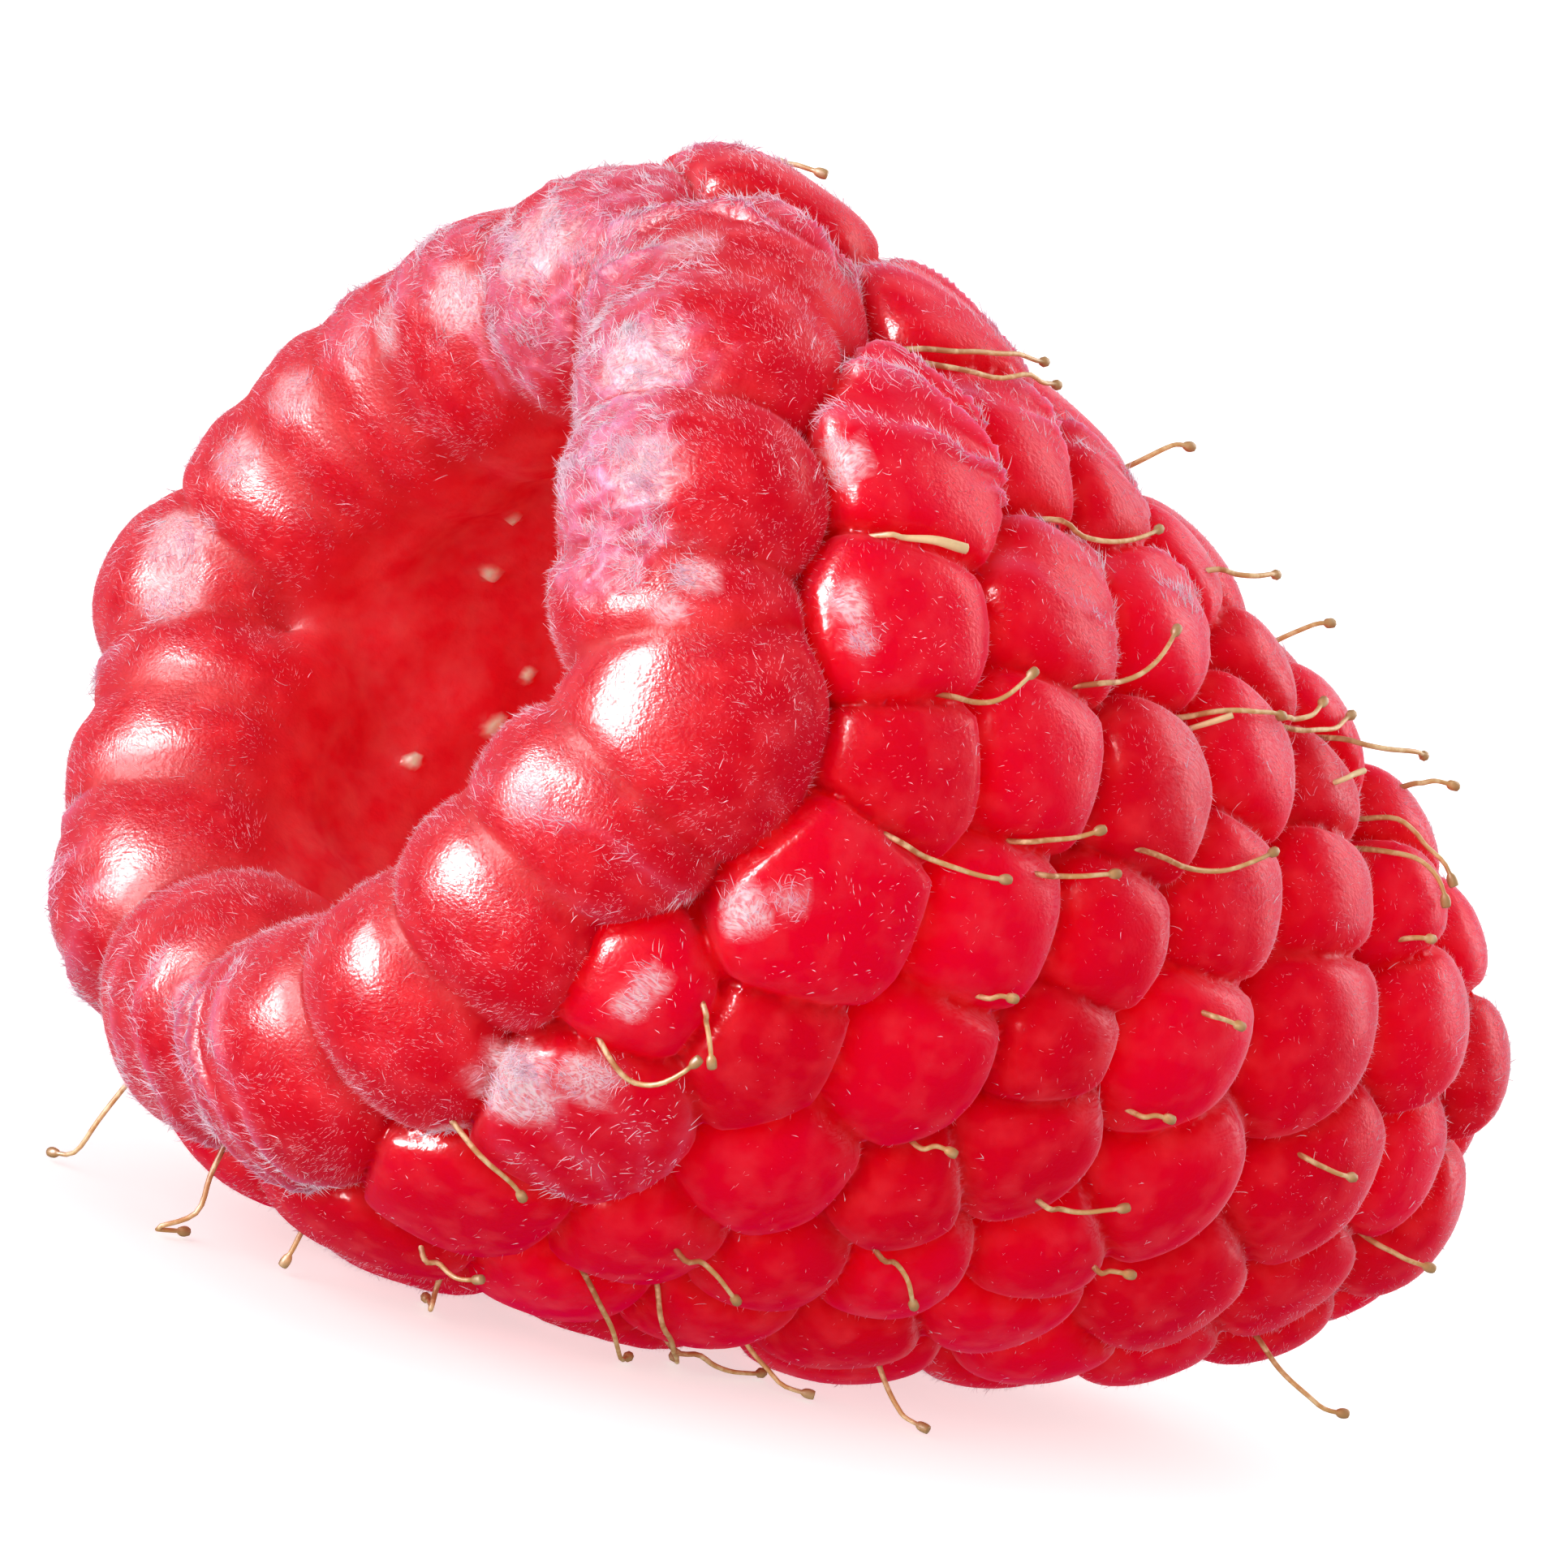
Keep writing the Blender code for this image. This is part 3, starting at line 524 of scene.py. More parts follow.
# Soft boxes: direction from the berry as right, up and toward the camera, distance, width and height in
# metres, power in watts, and whether the berry's gloss shows them instead of its flesh.
SOFT_BOXES = {
    "key_light": ((-0.55, 0.45, 0.70), 0.25, (0.20, 0.20), 0.31, False),
    "fill_light": ((0.10, -0.35, 0.92), 0.25, (0.20, 0.20), 0.26, False),
    "back_light": ((0.80, 0.35, -0.50), 0.25, (0.30, 0.20), 0.35, False),
    "window": ((-0.70, 0.44, 0.56), 0.25, (0.15, 0.23), 8.0, True),
    "rear_window": ((0.75, 0.25, -0.75), 0.25, (0.20, 0.20), 0.55, True),
}

# The white all round: as light, in the gloss, and as the camera sees it.
SKY_GLOW = 0.62
SKY_REFLECTED = 0.06
SKY_SEEN = 1.0

# The picture's contrast, and the floor.
VIEW_GAMMA = 0.88
FLOOR_RADIUS = 1.5
FLOOR_SIDES = 64
FLOOR_GLOW = 0.62
FLOOR_WHITE = 0.65


def envelope_radius(along):
    """Radius of the envelope, which narrows towards the tip."""
    share = np.clip((along - WIDEST_ALONG) / (TIP_ALONG - WIDEST_ALONG), 0.0, 1.0)
    return ENVELOPE_RADIUS * (1 - share**TAPER_POWER) ** TAPER_ROUNDNESS


def hollow_radius(along):
    """Radius of the hollow, widest at the mouth, and nothing beyond its depth."""
    share = np.clip(along / HOLLOW_DEPTH, 0.0, 1.0)
    return HOLLOW_RADIUS * (1 - share**2) ** HOLLOW_ROUNDNESS


def radial(turn):
    """Unit vector straight out from the axis at this turn. The axis is X, and turn 0 is up."""
    return np.array([0.0, -math.sin(math.radians(turn)), math.cos(math.radians(turn))])


def unit(vectors):
    """These vectors at a length of 1."""
    return vectors / np.linalg.norm(vectors, axis=-1, keepdims=True)


def point_at(turn, along, from_axis):
    """The point at this turn, this far along the axis and this far from it, in the berry's own frame."""
    point = radial(turn) * from_axis
    point[0] = along
    return point


def distance_from_axis(points):
    """How far each point is from the axis."""
    return np.hypot(points[:, 1], points[:, 2])


def turns_of(points):
    """The turn of each point, between -180 and 180."""
    return np.degrees(np.arctan2(-points[:, 1], points[:, 2]))


def outward(turn, along):
    """Unit vector at right angles to the envelope."""
    rise = envelope_radius(along + SLOPE_STEP) - envelope_radius(along - SLOPE_STEP)
    normal = radial(turn) - rise / (2 * SLOPE_STEP) * np.array([1.0, 0.0, 0.0])
    return normal / np.linalg.norm(normal)


def on_envelope(turn, along, height=0.0):
    """The point at this place, in the berry's own frame."""
    return point_at(turn, along, envelope_radius(along)) + outward(turn, along) * height


def rim_drupelet(turn, along, half_width, stand_out):
    """A drupelet of the rim, which curls from the outside over the lip into the hollow."""
    lean = math.radians(RIM_LEAN)
    normal = radial(turn) * math.cos(lean) - np.array([math.sin(lean), 0.0, 0.0])
    return {
        "middle": point_at(turn, along, RIM_RADIUS + stand_out),
        "normal": normal,
        "tangent": radial(turn + 90),
        "half_width": half_width,
        "on_rim": True,
        "reach": (RIM_REACH, RIM_REACH, RIM_REACH, half_width * DOME_SPREAD),
    }


def side_drupelet(turn, along, half_width, lift, patch_half_width):
    """A drupelet of the side, a dome outside that narrows inwards to the wall of the hollow."""
    normal = outward(turn, along)
    middle = on_envelope(turn, along, -DOME_DEPTH)
    from_axis = math.hypot(middle[1], middle[2])
    wall = float(hollow_radius(max(middle[0], 0.0))) + INNER_END_COVER
    inwards = (from_axis - wall) / max(normal @ radial(turn), LEAST_SLOPE)
    spread = max(half_width, patch_half_width) * DOME_SPREAD
    if along < BESIDE_RIM_ALONG:
        spread *= BESIDE_RIM_SPREAD
    return {
        "middle": middle,
        "normal": normal,
        "tangent": radial(turn + 90),
        "half_width": half_width,
        "on_rim": False,
        "reach": (DOME_DEPTH + lift, max(inwards, LEAST_DEPTH), spread, spread),
    }


def usual_half_width(along):
    """Usual half width of a drupelet at this distance from the mouth."""
    return FILL_WIDE + (FILL_NARROW - FILL_WIDE) * along / TIP_ALONG


def patches_from(first_along):
    """Small patches that cover the envelope: their places, middle points and areas."""
    alongs = np.arange(first_along, TIP_ALONG, PATCH_ALONG)
    turns = np.arange(0.0, 360.0, PATCH_TURN)
    places = [(float(turn), float(along)) for along in alongs for turn in turns]
    points = np.array([on_envelope(*place) for place in places])
    areas = np.array([math.radians(PATCH_TURN) * envelope_radius(along) * PATCH_ALONG for _, along in places])
    return places, points, areas


def fill_places(taken):
    """Places for drupelets in the room that is left: each goes where the nearest one is furthest away."""
    places, points, _ = patches_from(FILL_FIRST_ALONG)
    widths = np.array([usual_half_width(along) for _, along in places])
    room = np.full(len(places), np.inf)
    new = [(on_envelope(turn, along), half_width) for turn, along, half_width, _ in taken]
    found = []
    while new:
        for point, half_width in new:
            room = np.minimum(room, np.linalg.norm(points - point, axis=1) / (widths + half_width))
        best = int(np.argmax(room))
        new = []
        if room[best] > FILL_PACKING:
            found.append(places[best])
            new.append((points[best], widths[best]))
    return found


def settle(found, taken):
    """Moves the found places apart until each is in the middle of its own patch of the envelope.

    It returns them, and the half width of every drupelet's patch, those of the taken places first.
    """
    _, points, areas = patches_from(FILL_FIRST_ALONG - RIM_COVER)
    held = np.array([on_envelope(turn, along) for turn, along, _, _ in taken])
    for _ in range(SETTLING_ROUNDS):
        middles = np.vstack([held, [on_envelope(*place) for place in found]])
        nearest = np.argmin(np.linalg.norm(points[:, None] - middles[None], axis=2), axis=1)
        for number in range(len(found)):
            patch = nearest == len(held) + number
            x, y, z = np.average(points[patch], axis=0, weights=areas[patch])
            found[number] = (math.degrees(math.atan2(-y, z)) % 360, min(x, LAST_ALONG))
    sizes = [areas[nearest == number].sum() for number in range(len(middles))]
    return found, [HEXAGON_HALF_WIDTH * math.sqrt(size) for size in sizes]


def all_drupelets():
    """Every drupelet of the berry: the rim, the side, and those placed by rule."""
    lip = tuple((turn, along + RIM_COVER, half_width, 0.0) for turn, along, half_width, _ in RIM)
    taken = lip + SIDE
    found, patch_widths = settle(fill_places(taken), taken)
    cells = [rim_drupelet(*row) for row in RIM]
    cells += [side_drupelet(*row, width) for row, width in zip(SIDE, patch_widths[len(lip):])]
    for place, width in zip(found, patch_widths[len(taken):]):
        cells.append(side_drupelet(*place, width, 0.0, width))
    return cells


def neighbours(cell, cells):
    """The planes where this drupelet meets others: directions and distances from its middle."""
    planes = []
    for other in cells:
        apart = other["middle"] - cell["middle"]
        distance = float(np.linalg.norm(apart))
        if other is cell or distance > MEETING_RANGE * (cell["half_width"] + other["half_width"]):
            continue
        share = cell["half_width"] / (cell["half_width"] + other["half_width"])
        if cell["on_rim"] != other["on_rim"]:
            share = RIM_SHARE if cell["on_rim"] else 1 - RIM_SHARE
        planes.append((apart / distance, distance * share + SEAM_OVERLAP))
    return planes


def cell_distances(cell, planes, directions):
    """How far the drupelet's skin is from its middle, in each direction."""
    out, inwards, across, around = cell["reach"]
    normal = cell["normal"]
    tangent = cell["tangent"]
    binormal = np.cross(normal, tangent)
    rise = directions @ normal
    depth = np.where(rise > 0, out, inwards)
    near = (
        (np.abs(rise) / depth) ** DOME_FULLNESS
        + (np.abs(directions @ binormal) / across) ** DOME_FULLNESS
        + (np.abs(directions @ tangent) / around) ** DOME_FULLNESS
    ) ** (1 / DOME_FULLNESS)
    total = near**EDGE_SHARPNESS
    for direction, distance in planes:
        total += (np.maximum(directions @ direction, 0.0) / distance) ** EDGE_SHARPNESS
    return total ** (-1 / EDGE_SHARPNESS)


def triangle_mesh(name, points, triangles):
    """A mesh of these triangles."""
    mesh = bpy.data.meshes.new(name)
    mesh.vertices.add(len(points))
    mesh.vertices.foreach_set("co", np.asarray(points, np.float32).ravel())
    mesh.loops.add(triangles.size)
    mesh.loops.foreach_set("vertex_index", np.asarray(triangles, np.int32).ravel())
    mesh.polygons.add(len(triangles))
    mesh.polygons.foreach_set("loop_start", np.arange(0, triangles.size, 3, dtype=np.int32))
    mesh.update(calc_edges=True)
    return mesh


def arrays_of(mesh):
    """A mesh's points and triangles as arrays."""
    mesh.calc_loop_triangles()
    points = np.empty(len(mesh.vertices) * 3, np.float32)
    mesh.vertices.foreach_get("co", points)
    triangles = np.empty(len(mesh.loop_triangles) * 3, np.int32)
    mesh.loop_triangles.foreach_get("vertices", triangles)
    return points.reshape(-1, 3).astype(float), triangles.reshape(-1, 3)


def ball():
    """The points and triangles of a sphere of radius 1."""
    sphere = bmesh.new()
    bmesh.ops.create_icosphere(sphere, subdivisions=SKIN_SUBDIVISIONS, radius=1.0)
    mesh = bpy.data.meshes.new("ball")
    sphere.to_mesh(mesh)
    sphere.free()
    points, triangles = arrays_of(mesh)
    return unit(points), triangles


def wall_profile():
    """Distances along and radii of the wall's outline, from the tip outside to the hollow's end inside."""
    outer = np.linspace(WALL_END, WALL_START, WALL_STEPS)
    inner = np.linspace(WALL_START, HOLLOW_DEPTH, WALL_STEPS)
    profile = [(WALL_END + WALL_TIP, 0.0)]
    profile += [(along, float(envelope_radius(along)) - WALL_BELOW) for along in outer]
    profile += [(along, float(hollow_radius(along))) for along in inner]
    return profile


def wall_shape():
    """Points and triangles of the flesh between the drupelets: a thick cup round the hollow."""
    turns = np.arange(WALL_SIDES) * 360.0 / WALL_SIDES
    rows = wall_profile()
    points = [point_at(turn, along, radius) for along, radius in rows for turn in turns]
    triangles = []
    for row in range(len(rows) - 1):
        for side in range(WALL_SIDES):
            here = row * WALL_SIDES + side
            beside = row * WALL_SIDES + (side + 1) % WALL_SIDES
            if row > 0:
                triangles.append((here, beside, beside + WALL_SIDES))
            if row < len(rows) - 2:
                triangles.append((here, beside + WALL_SIDES, here + WALL_SIDES))
    return np.array(points), np.array(triangles)


def grown_skin(cells, planes):
    """The outer skin of all drupelets and the wall grown together: its points and triangles."""
    directions, ball_triangles = ball()
    all_points = []
    all_triangles = []
    for number, cell in enumerate(cells):
        distances = cell_distances(cell, planes[number], directions)
        all_points.append(cell["middle"] + directions * distances[:, None])
        all_triangles.append(ball_triangles + number * len(directions))
    wall_points, wall_triangles = wall_shape()
    all_points.append(wall_points)
    all_triangles.append(wall_triangles + len(cells) * len(directions))
    mesh = triangle_mesh("grown", np.vstack(all_points), np.vstack(all_triangles))
    return arrays_of(modified(mesh, "REMESH", mode="VOXEL", voxel_size=SKIN_VOXEL))


def lightened(points, triangles, fields):
    """The skin with fewer triangles, most of them where it bends, and its fields."""
    mesh = triangle_mesh("detailed", points, triangles)
    for name, values in fields.items():
        add_field(mesh, name, values)
    skin = modified(mesh, "DECIMATE", ratio=SKIN_TRIANGLES / len(triangles))
    kept = {name: np.empty(len(skin.vertices), np.float32) for name in fields}
    for name, values in kept.items():
        skin.attributes[name].data.foreach_get("value", values)
    return *arrays_of(skin), kept


def modified(mesh, kind, **settings):
    """A new mesh: this one after one modifier."""
    helper = bpy.data.objects.new("helper", mesh)
    bpy.context.scene.collection.objects.link(helper)
    modifier = helper.modifiers.new("modifier", kind)
    for name, value in settings.items():
        setattr(modifier, name, value)
    bpy.context.view_layer.update()
    result = bpy.data.meshes.new_from_object(helper.evaluated_get(bpy.context.evaluated_depsgraph_get()))
    bpy.data.objects.remove(helper)
    return result


def point_normals(points, triangles):
    """The unit normal at each point, from the triangles round it."""
    a, b, c = (points[triangles[:, corner]] for corner in range(3))
    face_normals = np.cross(b - a, c - a)
    normals = np.zeros_like(points)
    for corner in range(3):
        np.add.at(normals, triangles[:, corner], face_normals)
    return normals / np.maximum(np.linalg.norm(normals, axis=1), 1e-12)[:, None]


def owners(points, cells, planes):
    """Each point's drupelet, how far out of it the point is, and how far out of the next nearest one."""
    nearest = np.full(len(points), np.inf)
    second = np.full(len(points), np.inf)
    owner = np.zeros(len(points), int)
    for number, cell in enumerate(cells):
        offset = points - cell["middle"]
        distance = np.linalg.norm(offset, axis=1)
        close = np.flatnonzero(distance < OWNER_REACH)
        directions = offset[close] / distance[close][:, None]
        gap = distance[close] - cell_distances(cell, planes[number], directions)
        is_nearer = gap < nearest[close]
        second[close] = np.where(is_nearer, nearest[close], np.minimum(second[close], gap))
        owner[close[is_nearer]] = number
        nearest[close] = np.minimum(nearest[close], gap)
    return owner, nearest, second


def smooth_step(low, high, values):
    """0 below low, 1 above high, and a smooth rise between them."""
    share = np.clip((values - low) / (high - low), 0.0, 1.0)
    return share * share * (3 - 2 * share)


def ripples(points, size, seed):
    """Soft noise between -1 and 1 with bumps of this size in millimetres."""
    shift = Vector([seed * step for step in RIPPLE_SHIFT])
    return np.array([noise.noise(Vector(point) / size + shift) for point in points])


def folds(points, size, seed):
    """Noise between 0 and 1 with sharp ridges of this size in millimetres, like wrinkled skin."""
    bend = np.stack([ripples(points, size * 2, seed + axis) for axis in range(3)], axis=1)
    bent = points + bend * size * WRINKLE_BEND
    coarse = 1 - np.abs(ripples(bent, size, seed + 3)) * WRINKLE_SHARPNESS
    fine = 1 - np.abs(ripples(bent, size / 2, seed + 4)) * WRINKLE_SHARPNESS
    return np.clip(coarse * WRINKLE_COARSE + fine * (1 - WRINKLE_COARSE), 0.0, 1.0)


def cell_at(cells, turn, along, on_rim):
    """The number of the drupelet nearest to this place."""
    if on_rim:
        target = rim_drupelet(turn, along, 1.0, 0.0)["middle"]
    else:
        target = on_envelope(turn, along, -DOME_DEPTH)
    apart = [
        np.linalg.norm(cell["middle"] - target) if cell["on_rim"] == on_rim else np.inf for cell in cells
    ]
    return int(np.argmin(apart))


def is_rim_row(turn, along):
    """Whether a drupelet of the rim was listed at this place."""
    return any(row[:2] == (turn, along) for row in RIM)


def pleats_of(points, cells, owner, second):
    """How high each point stands on the pleats, from 0 to 1, and how deep the pleats are there."""
    height = np.zeros(len(points))
    depth = np.zeros(len(points))
    for turn, along, meet_turn, meet_along, step, how_deep, side in PLEATED:
        number = cell_at(cells, turn, along, is_rim_row(turn, along))
        mine = np.flatnonzero(owner == number)
        meet = on_envelope(meet_turn, meet_along)
        normal = outward(meet_turn, meet_along)
        onward = cells[number]["middle"] - meet
        onward -= normal * (onward @ normal)
        reach = np.linalg.norm(onward)
        onward /= reach
        across = np.cross(normal, onward)
        offset = points[mine] - meet
        fan = np.arctan2(offset @ across, offset @ onward) * reach
        fan += ripples(points[mine], PLEAT_WAVER_SIZE, number) * step * PLEAT_WAVER
        height[mine] = (1 - np.abs(np.sin(math.pi * fan / step))) ** PLEAT_SHARPNESS
        from_middle = (points[mine] - cells[number]["middle"]) @ cells[number]["tangent"]
        sided = 1.0 if side == 0 else smooth_step(*PLEATS_SIDED, from_middle * side)
        fade = smooth_step(*PLEATS_FROM_EDGE, second[mine])
        fade *= smooth_step(*PLEATS_FROM_MEETING, np.linalg.norm(offset, axis=1))
        fade *= smooth_step(*PLEATS_OUTSIDE, distance_from_axis(points[mine]))
        patchy = PLEAT_USUAL + PLEAT_UNEVEN * ripples(points[mine], PLEAT_PATCH_SIZE, number + 40)
        depth[mine] = how_deep * fade * np.clip(patchy, *PLEAT_PATCHES) * sided
    return height, depth


def patches(points, rows, ragged):
    """How much each point is part of one of the listed patches, whose edges are ragged at this size."""
    share = np.zeros(len(points))
    uneven = ripples(points, ragged, 60) * PATCH_COARSE + ripples(points, ragged / 3, 61) * PATCH_FINE
    for turn, along, from_axis, radius, amount in rows:
        offset = points - point_at(turn, along, from_axis)
        distance = np.linalg.norm(offset, axis=1) / radius + uneven
        share = np.maximum(share, amount * (1 - smooth_step(*PATCH_FADE, distance)))
    return share


def skin_fields(points, cells, planes):
    """What the skin is like at each point, and where shade, sheen and glints are painted on it: shares from 0
    to 1, and the drupelet that it belongs to.
    """
    owner, nearest, second = owners(points, cells, planes)
    along = points[:, 0]
    within = 1 - smooth_step(0.0, HOLLOW_MARGIN, distance_from_axis(points) - hollow_radius(along))
    within *= smooth_step(*HOLLOW_ENTRY, along) * (along < HOLLOW_END)
    bare = nearest < BARE_GAP
    # Loose wrinkled skin, painted paler partly as sheen.
    loose_skin_sheen = patches(points, LOOSE_SKIN_SHEEN_PATCHES, LOOSE_SKIN_RAGGED) * smooth_step(*LOOSE_SKIN_EDGE, second)
    # Painted glints: white spots that stand in for highlights.
    painted_glint = patches(points, PAINTED_GLINTS, GLINT_RAGGED) * smooth_step(*GLINT_EDGE, second)
    tones_and_shade = np.random.default_rng(DOWN_SEED).uniform(0.0, 1.0, len(cells))
    # Painted shade: the rim's drupelets take the darker red in full.
    tones_and_shade[:len(RIM)] = RIM_PAINTED_SHADE
    return {
        "owner": owner,
        "second": second,
        "top": smooth_step(0.0, CREASE_WIDTH, second) * (1 - within),
        "hollow": within,
        "deep": within * smooth_step(*HOLLOW_DEEPENS, along),
        "loose_skin_sheen": loose_skin_sheen * bare,
        "painted_glint": painted_glint * bare,
        "scar": scar_field(points, within),
        "tone_and_shade": tones_and_shade[owner],
    }


def smoothed(points, triangles, amount):
    """The points drawn towards their neighbours, over and over, as far as the amount at each allows."""
    edges = np.vstack([triangles[:, [0, 1]], triangles[:, [1, 2]], triangles[:, [2, 0]]])
    edges = edges[(amount[edges] > 0).any(axis=1)]
    first, second = edges.T
    counts = np.maximum(np.bincount(first, minlength=len(points)), 1)
    for _ in range(SMOOTHING_ROUNDS):
        pulled = np.stack([
            np.bincount(first, weights=points[second, axis], minlength=len(points)) for axis in range(3)
        ], axis=1)
        points = points + (pulled / counts[:, None] - points) * amount[:, None] * (counts > 1)[:, None]
    return points


def detailed(points, triangles, cells, fields):
    """The points moved in and out by lumps, wrinkles, pleats and the lumpy wall of the hollow."""
    on_rim = fields["owner"] < len(RIM)
    lining = (1 - smooth_step(*LINING, distance_from_axis(points))) * (points[:, 0] < HOLLOW_END)
    creases = (1 - smooth_step(0.0, RIM_CREASE_WIDTH, fields["second"])) * on_rim
    fill = RIM_FILL * (1 - DISTINCT * smooth_step(*DISTINCT_TURNS, turns_of(points)))
    points = points + point_normals(points, triangles) * (creases * (1 - lining) * fill)[:, None]
    softness = np.maximum(RIM_SOFTNESS * fill / RIM_FILL, LEAST_SOFTNESS)
    points = smoothed(points, triangles, np.maximum(lining, creases * softness))
    normals = point_normals(points, triangles)
    pleat, pleat_depth = pleats_of(points, cells, fields["owner"], fields["second"])
    fields["pleat"] = pleat * np.clip(pleat_depth / PLEAT_FULL, 0.0, 1.0)
    fields["dull"] = np.max([fields["loose_skin_sheen"], fields["pleat"], fields["painted_glint"], creases], axis=0)
    wrinkle = folds(points, WRINKLE_SIZE, 20)
    fields["wrinkle"] = wrinkle * fields["loose_skin_sheen"]
    to_shoulder = 1 - np.clip(fields["second"] / PUFF_WIDTH, 0.0, 1.0)
    on_side = ~on_rim * (1 - fields["hollow"]) * (1 - lining)
    shift = (np.sqrt(1 - to_shoulder**2) - PUFF_LEVEL) * PUFF * on_side
    shift += ripples(points, LUMP_SIZE, 1) * LUMP_DEPTH * fields["top"]
    shift += (wrinkle - 0.5) * WRINKLE_DEPTH * fields["loose_skin_sheen"]
    shift += (pleat - PLEAT_LEVEL) * pleat_depth
    shift += ripples(points, HOLLOW_LUMP_SIZE, 9) * HOLLOW_LUMP_DEPTH * fields["hollow"]
    shift += SCAR_HEIGHT * fields["scar"]
    return points + normals * shift[:, None]


def scar_field(points, hollow):
    """How much each point is part of a pale scar in the hollow."""
    scar = np.zeros(len(points))
    uneven = ripples(points, SCAR_RAGGED, 70) * SCAR_UNEVEN
    for turn, along, radius in SCARS:
        out = radial(turn)
        offset = points - point_at(turn, along, hollow_radius(along))
        offset -= np.outer(offset @ out, out)
        distance = np.linalg.norm(offset, axis=1) + uneven * radius
        this_side = points @ out > 0
        scar = np.maximum(scar, (1 - smooth_step(radius * SCAR_CORE, radius, distance)) * this_side)
    return scar * hollow


def turned():
    """The berry's own directions turned to how it lies."""
    pitch = Matrix.Rotation(math.radians(TILT), 3, "Y")
    roll = Matrix.Rotation(math.radians(-TURN_UP), 3, "X")
    return pitch @ roll


def placement(points):
    """The move from the berry's own frame, in millimetres, to the model's, from the box of its node."""
    low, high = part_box(FLESH_NODE)
    lying = points @ np.array(turned()).T * MM
    least = lying.min(axis=0)
    most = lying.max(axis=0)
    middle = (np.array(low) + np.array(high)) / 2 - (least + most) / 2
    place = Matrix.Translation((middle[0], middle[1], high[2] - most[2]))
    return place @ turned().to_4x4() @ Matrix.Scale(MM, 4)


def moved(points, matrix):
    """These points after this move."""
    turn_and_scale = np.array(matrix.to_3x3())
    return points @ turn_and_scale.T + np.array(matrix.translation)


def clearance(surface, point):
    """How far this point is outside the berry, below zero inside it."""
    nearest, normal, _, distance = surface.find_nearest(point)
    return math.copysign(distance, (point - nearest).dot(normal))


def depth_at(surface, turn, along):
    """How far the berry's surface is below the envelope at this place."""
    start = Vector(on_envelope(turn, along, SEARCH_HEIGHT))
    _, _, _, distance = surface.ray_cast(start, Vector(-outward(turn, along)))
    return distance - SEARCH_HEIGHT


def far_styles():
    """Rows like those of STYLES for the far side, where the turn steps round between two limits."""
    turn, along = FAR_FIRST
    rows = []
    for number in range(FAR_STYLES):
        side = 1 if number % 2 else -1
        tip_turn = turn + side * FAR_BEND
        rows.append((turn, along, tip_turn, along + FAR_LENGTH, FAR_HEIGHT, side * FAR_BOW))
        turn += FAR_TURN
        if turn > FAR_TURNS[1]:
            turn -= FAR_TURNS[1] - FAR_TURNS[0]
        along += FAR_STEP
    return rows


def surface_of(points, triangles):
    """The flesh's surface in its own frame, to measure distances from."""
    return BVHTree.FromPolygons(points.tolist(), triangles.tolist())


def cleared(surface, place, point, turn, along):
    """This point moved outwards until it clears the flesh, and up until it clears the floor."""
    up = (place.inverted().to_3x3() @ Vector((0, 0, 1))).normalized()
    out = Vector(outward(turn, along))
    for _ in range(STYLE_PUSHES):
        lift = FLOOR_GAP - (place @ point).z / MM
        if lift > 0:
            point = point + up * lift
            out = (out - up * out.dot(up)).normalized()
        elif clearance(surface, point) >= STYLE_CLEARANCE:
            break
        point = point + out * STYLE_PUSH
    return point


def style_points(surface, place, row):
    """Points along a style, from its root in a crease to its tip, in the berry's own frame."""
    root_turn, root_along, tip_turn, tip_along, tip_height, bow = row
    root_depth = depth_at(surface, root_turn, root_along) + STYLE_ROOT
    root = Vector(on_envelope(root_turn, root_along, -root_depth))
    run = Vector(on_envelope(tip_turn, tip_along)) - root
    sideways = Vector(outward(root_turn, root_along)).cross(run).normalized()
    points = [root]
    for step in range(1, STYLE_STEPS + 1):
        share = step / STYLE_STEPS
        turn = root_turn + (tip_turn - root_turn) * share
        along = root_along + (tip_along - root_along) * share
        height = tip_height - (tip_height + root_depth) * (1 - share) ** 2
        point = Vector(on_envelope(turn, along, height)) + sideways * bow * math.sin(math.pi * share)
        points.append(cleared(surface, place, point, turn, along))
    return points


def spaced_out(points):
    """The points without those that are too near each other or the tip's knob."""
    kept = points[:1]
    for point in points[1:-1]:
        to_tip = (points[-1] - point).length - KNOB_LENGTH
        if min((point - kept[-1]).length, to_tip) > STYLE_SPACING:
            kept.append(point)
    return kept + points[-1:]


def smooth_line(points, count):
    """This many points, evenly spaced on a smooth curve through the given ones."""
    given = np.array([point[:] for point in points])
    ends = np.vstack([2 * given[0] - given[1], given, 2 * given[-1] - given[-2]])
    fine = []
    for number in range(1, len(ends) - 2):
        before, start, end, after = ends[number - 1:number + 3]
        for share in np.linspace(0.0, 1.0, CURVE_STEPS, endpoint=False):
            straight = 2 * start + (end - before) * share
            bend = (2 * before - 5 * start + 4 * end - after) * share**2
            twist = (3 * start - before - 3 * end + after) * share**3
            fine.append((straight + bend + twist) / 2)
    fine = np.array(fine + [given[-1]])
    travelled = np.concatenate([[0.0], np.cumsum(np.linalg.norm(np.diff(fine, axis=0), axis=1))])
    even = np.linspace(0.0, travelled[-1], count)
    line = np.stack([np.interp(even, travelled, fine[:, axis]) for axis in range(3)], axis=1)
    return line, even


def ring_triangles(rings, sides):
    """Triangles between rings of points that follow each other."""
    triangles = []
    for ring in range(rings - 1):
        for side in range(sides):
            here = ring * sides + side
            beside = ring * sides + (side + 1) % sides
            triangles += [(here, beside, beside + sides), (here, beside + sides, here + sides)]
    return triangles


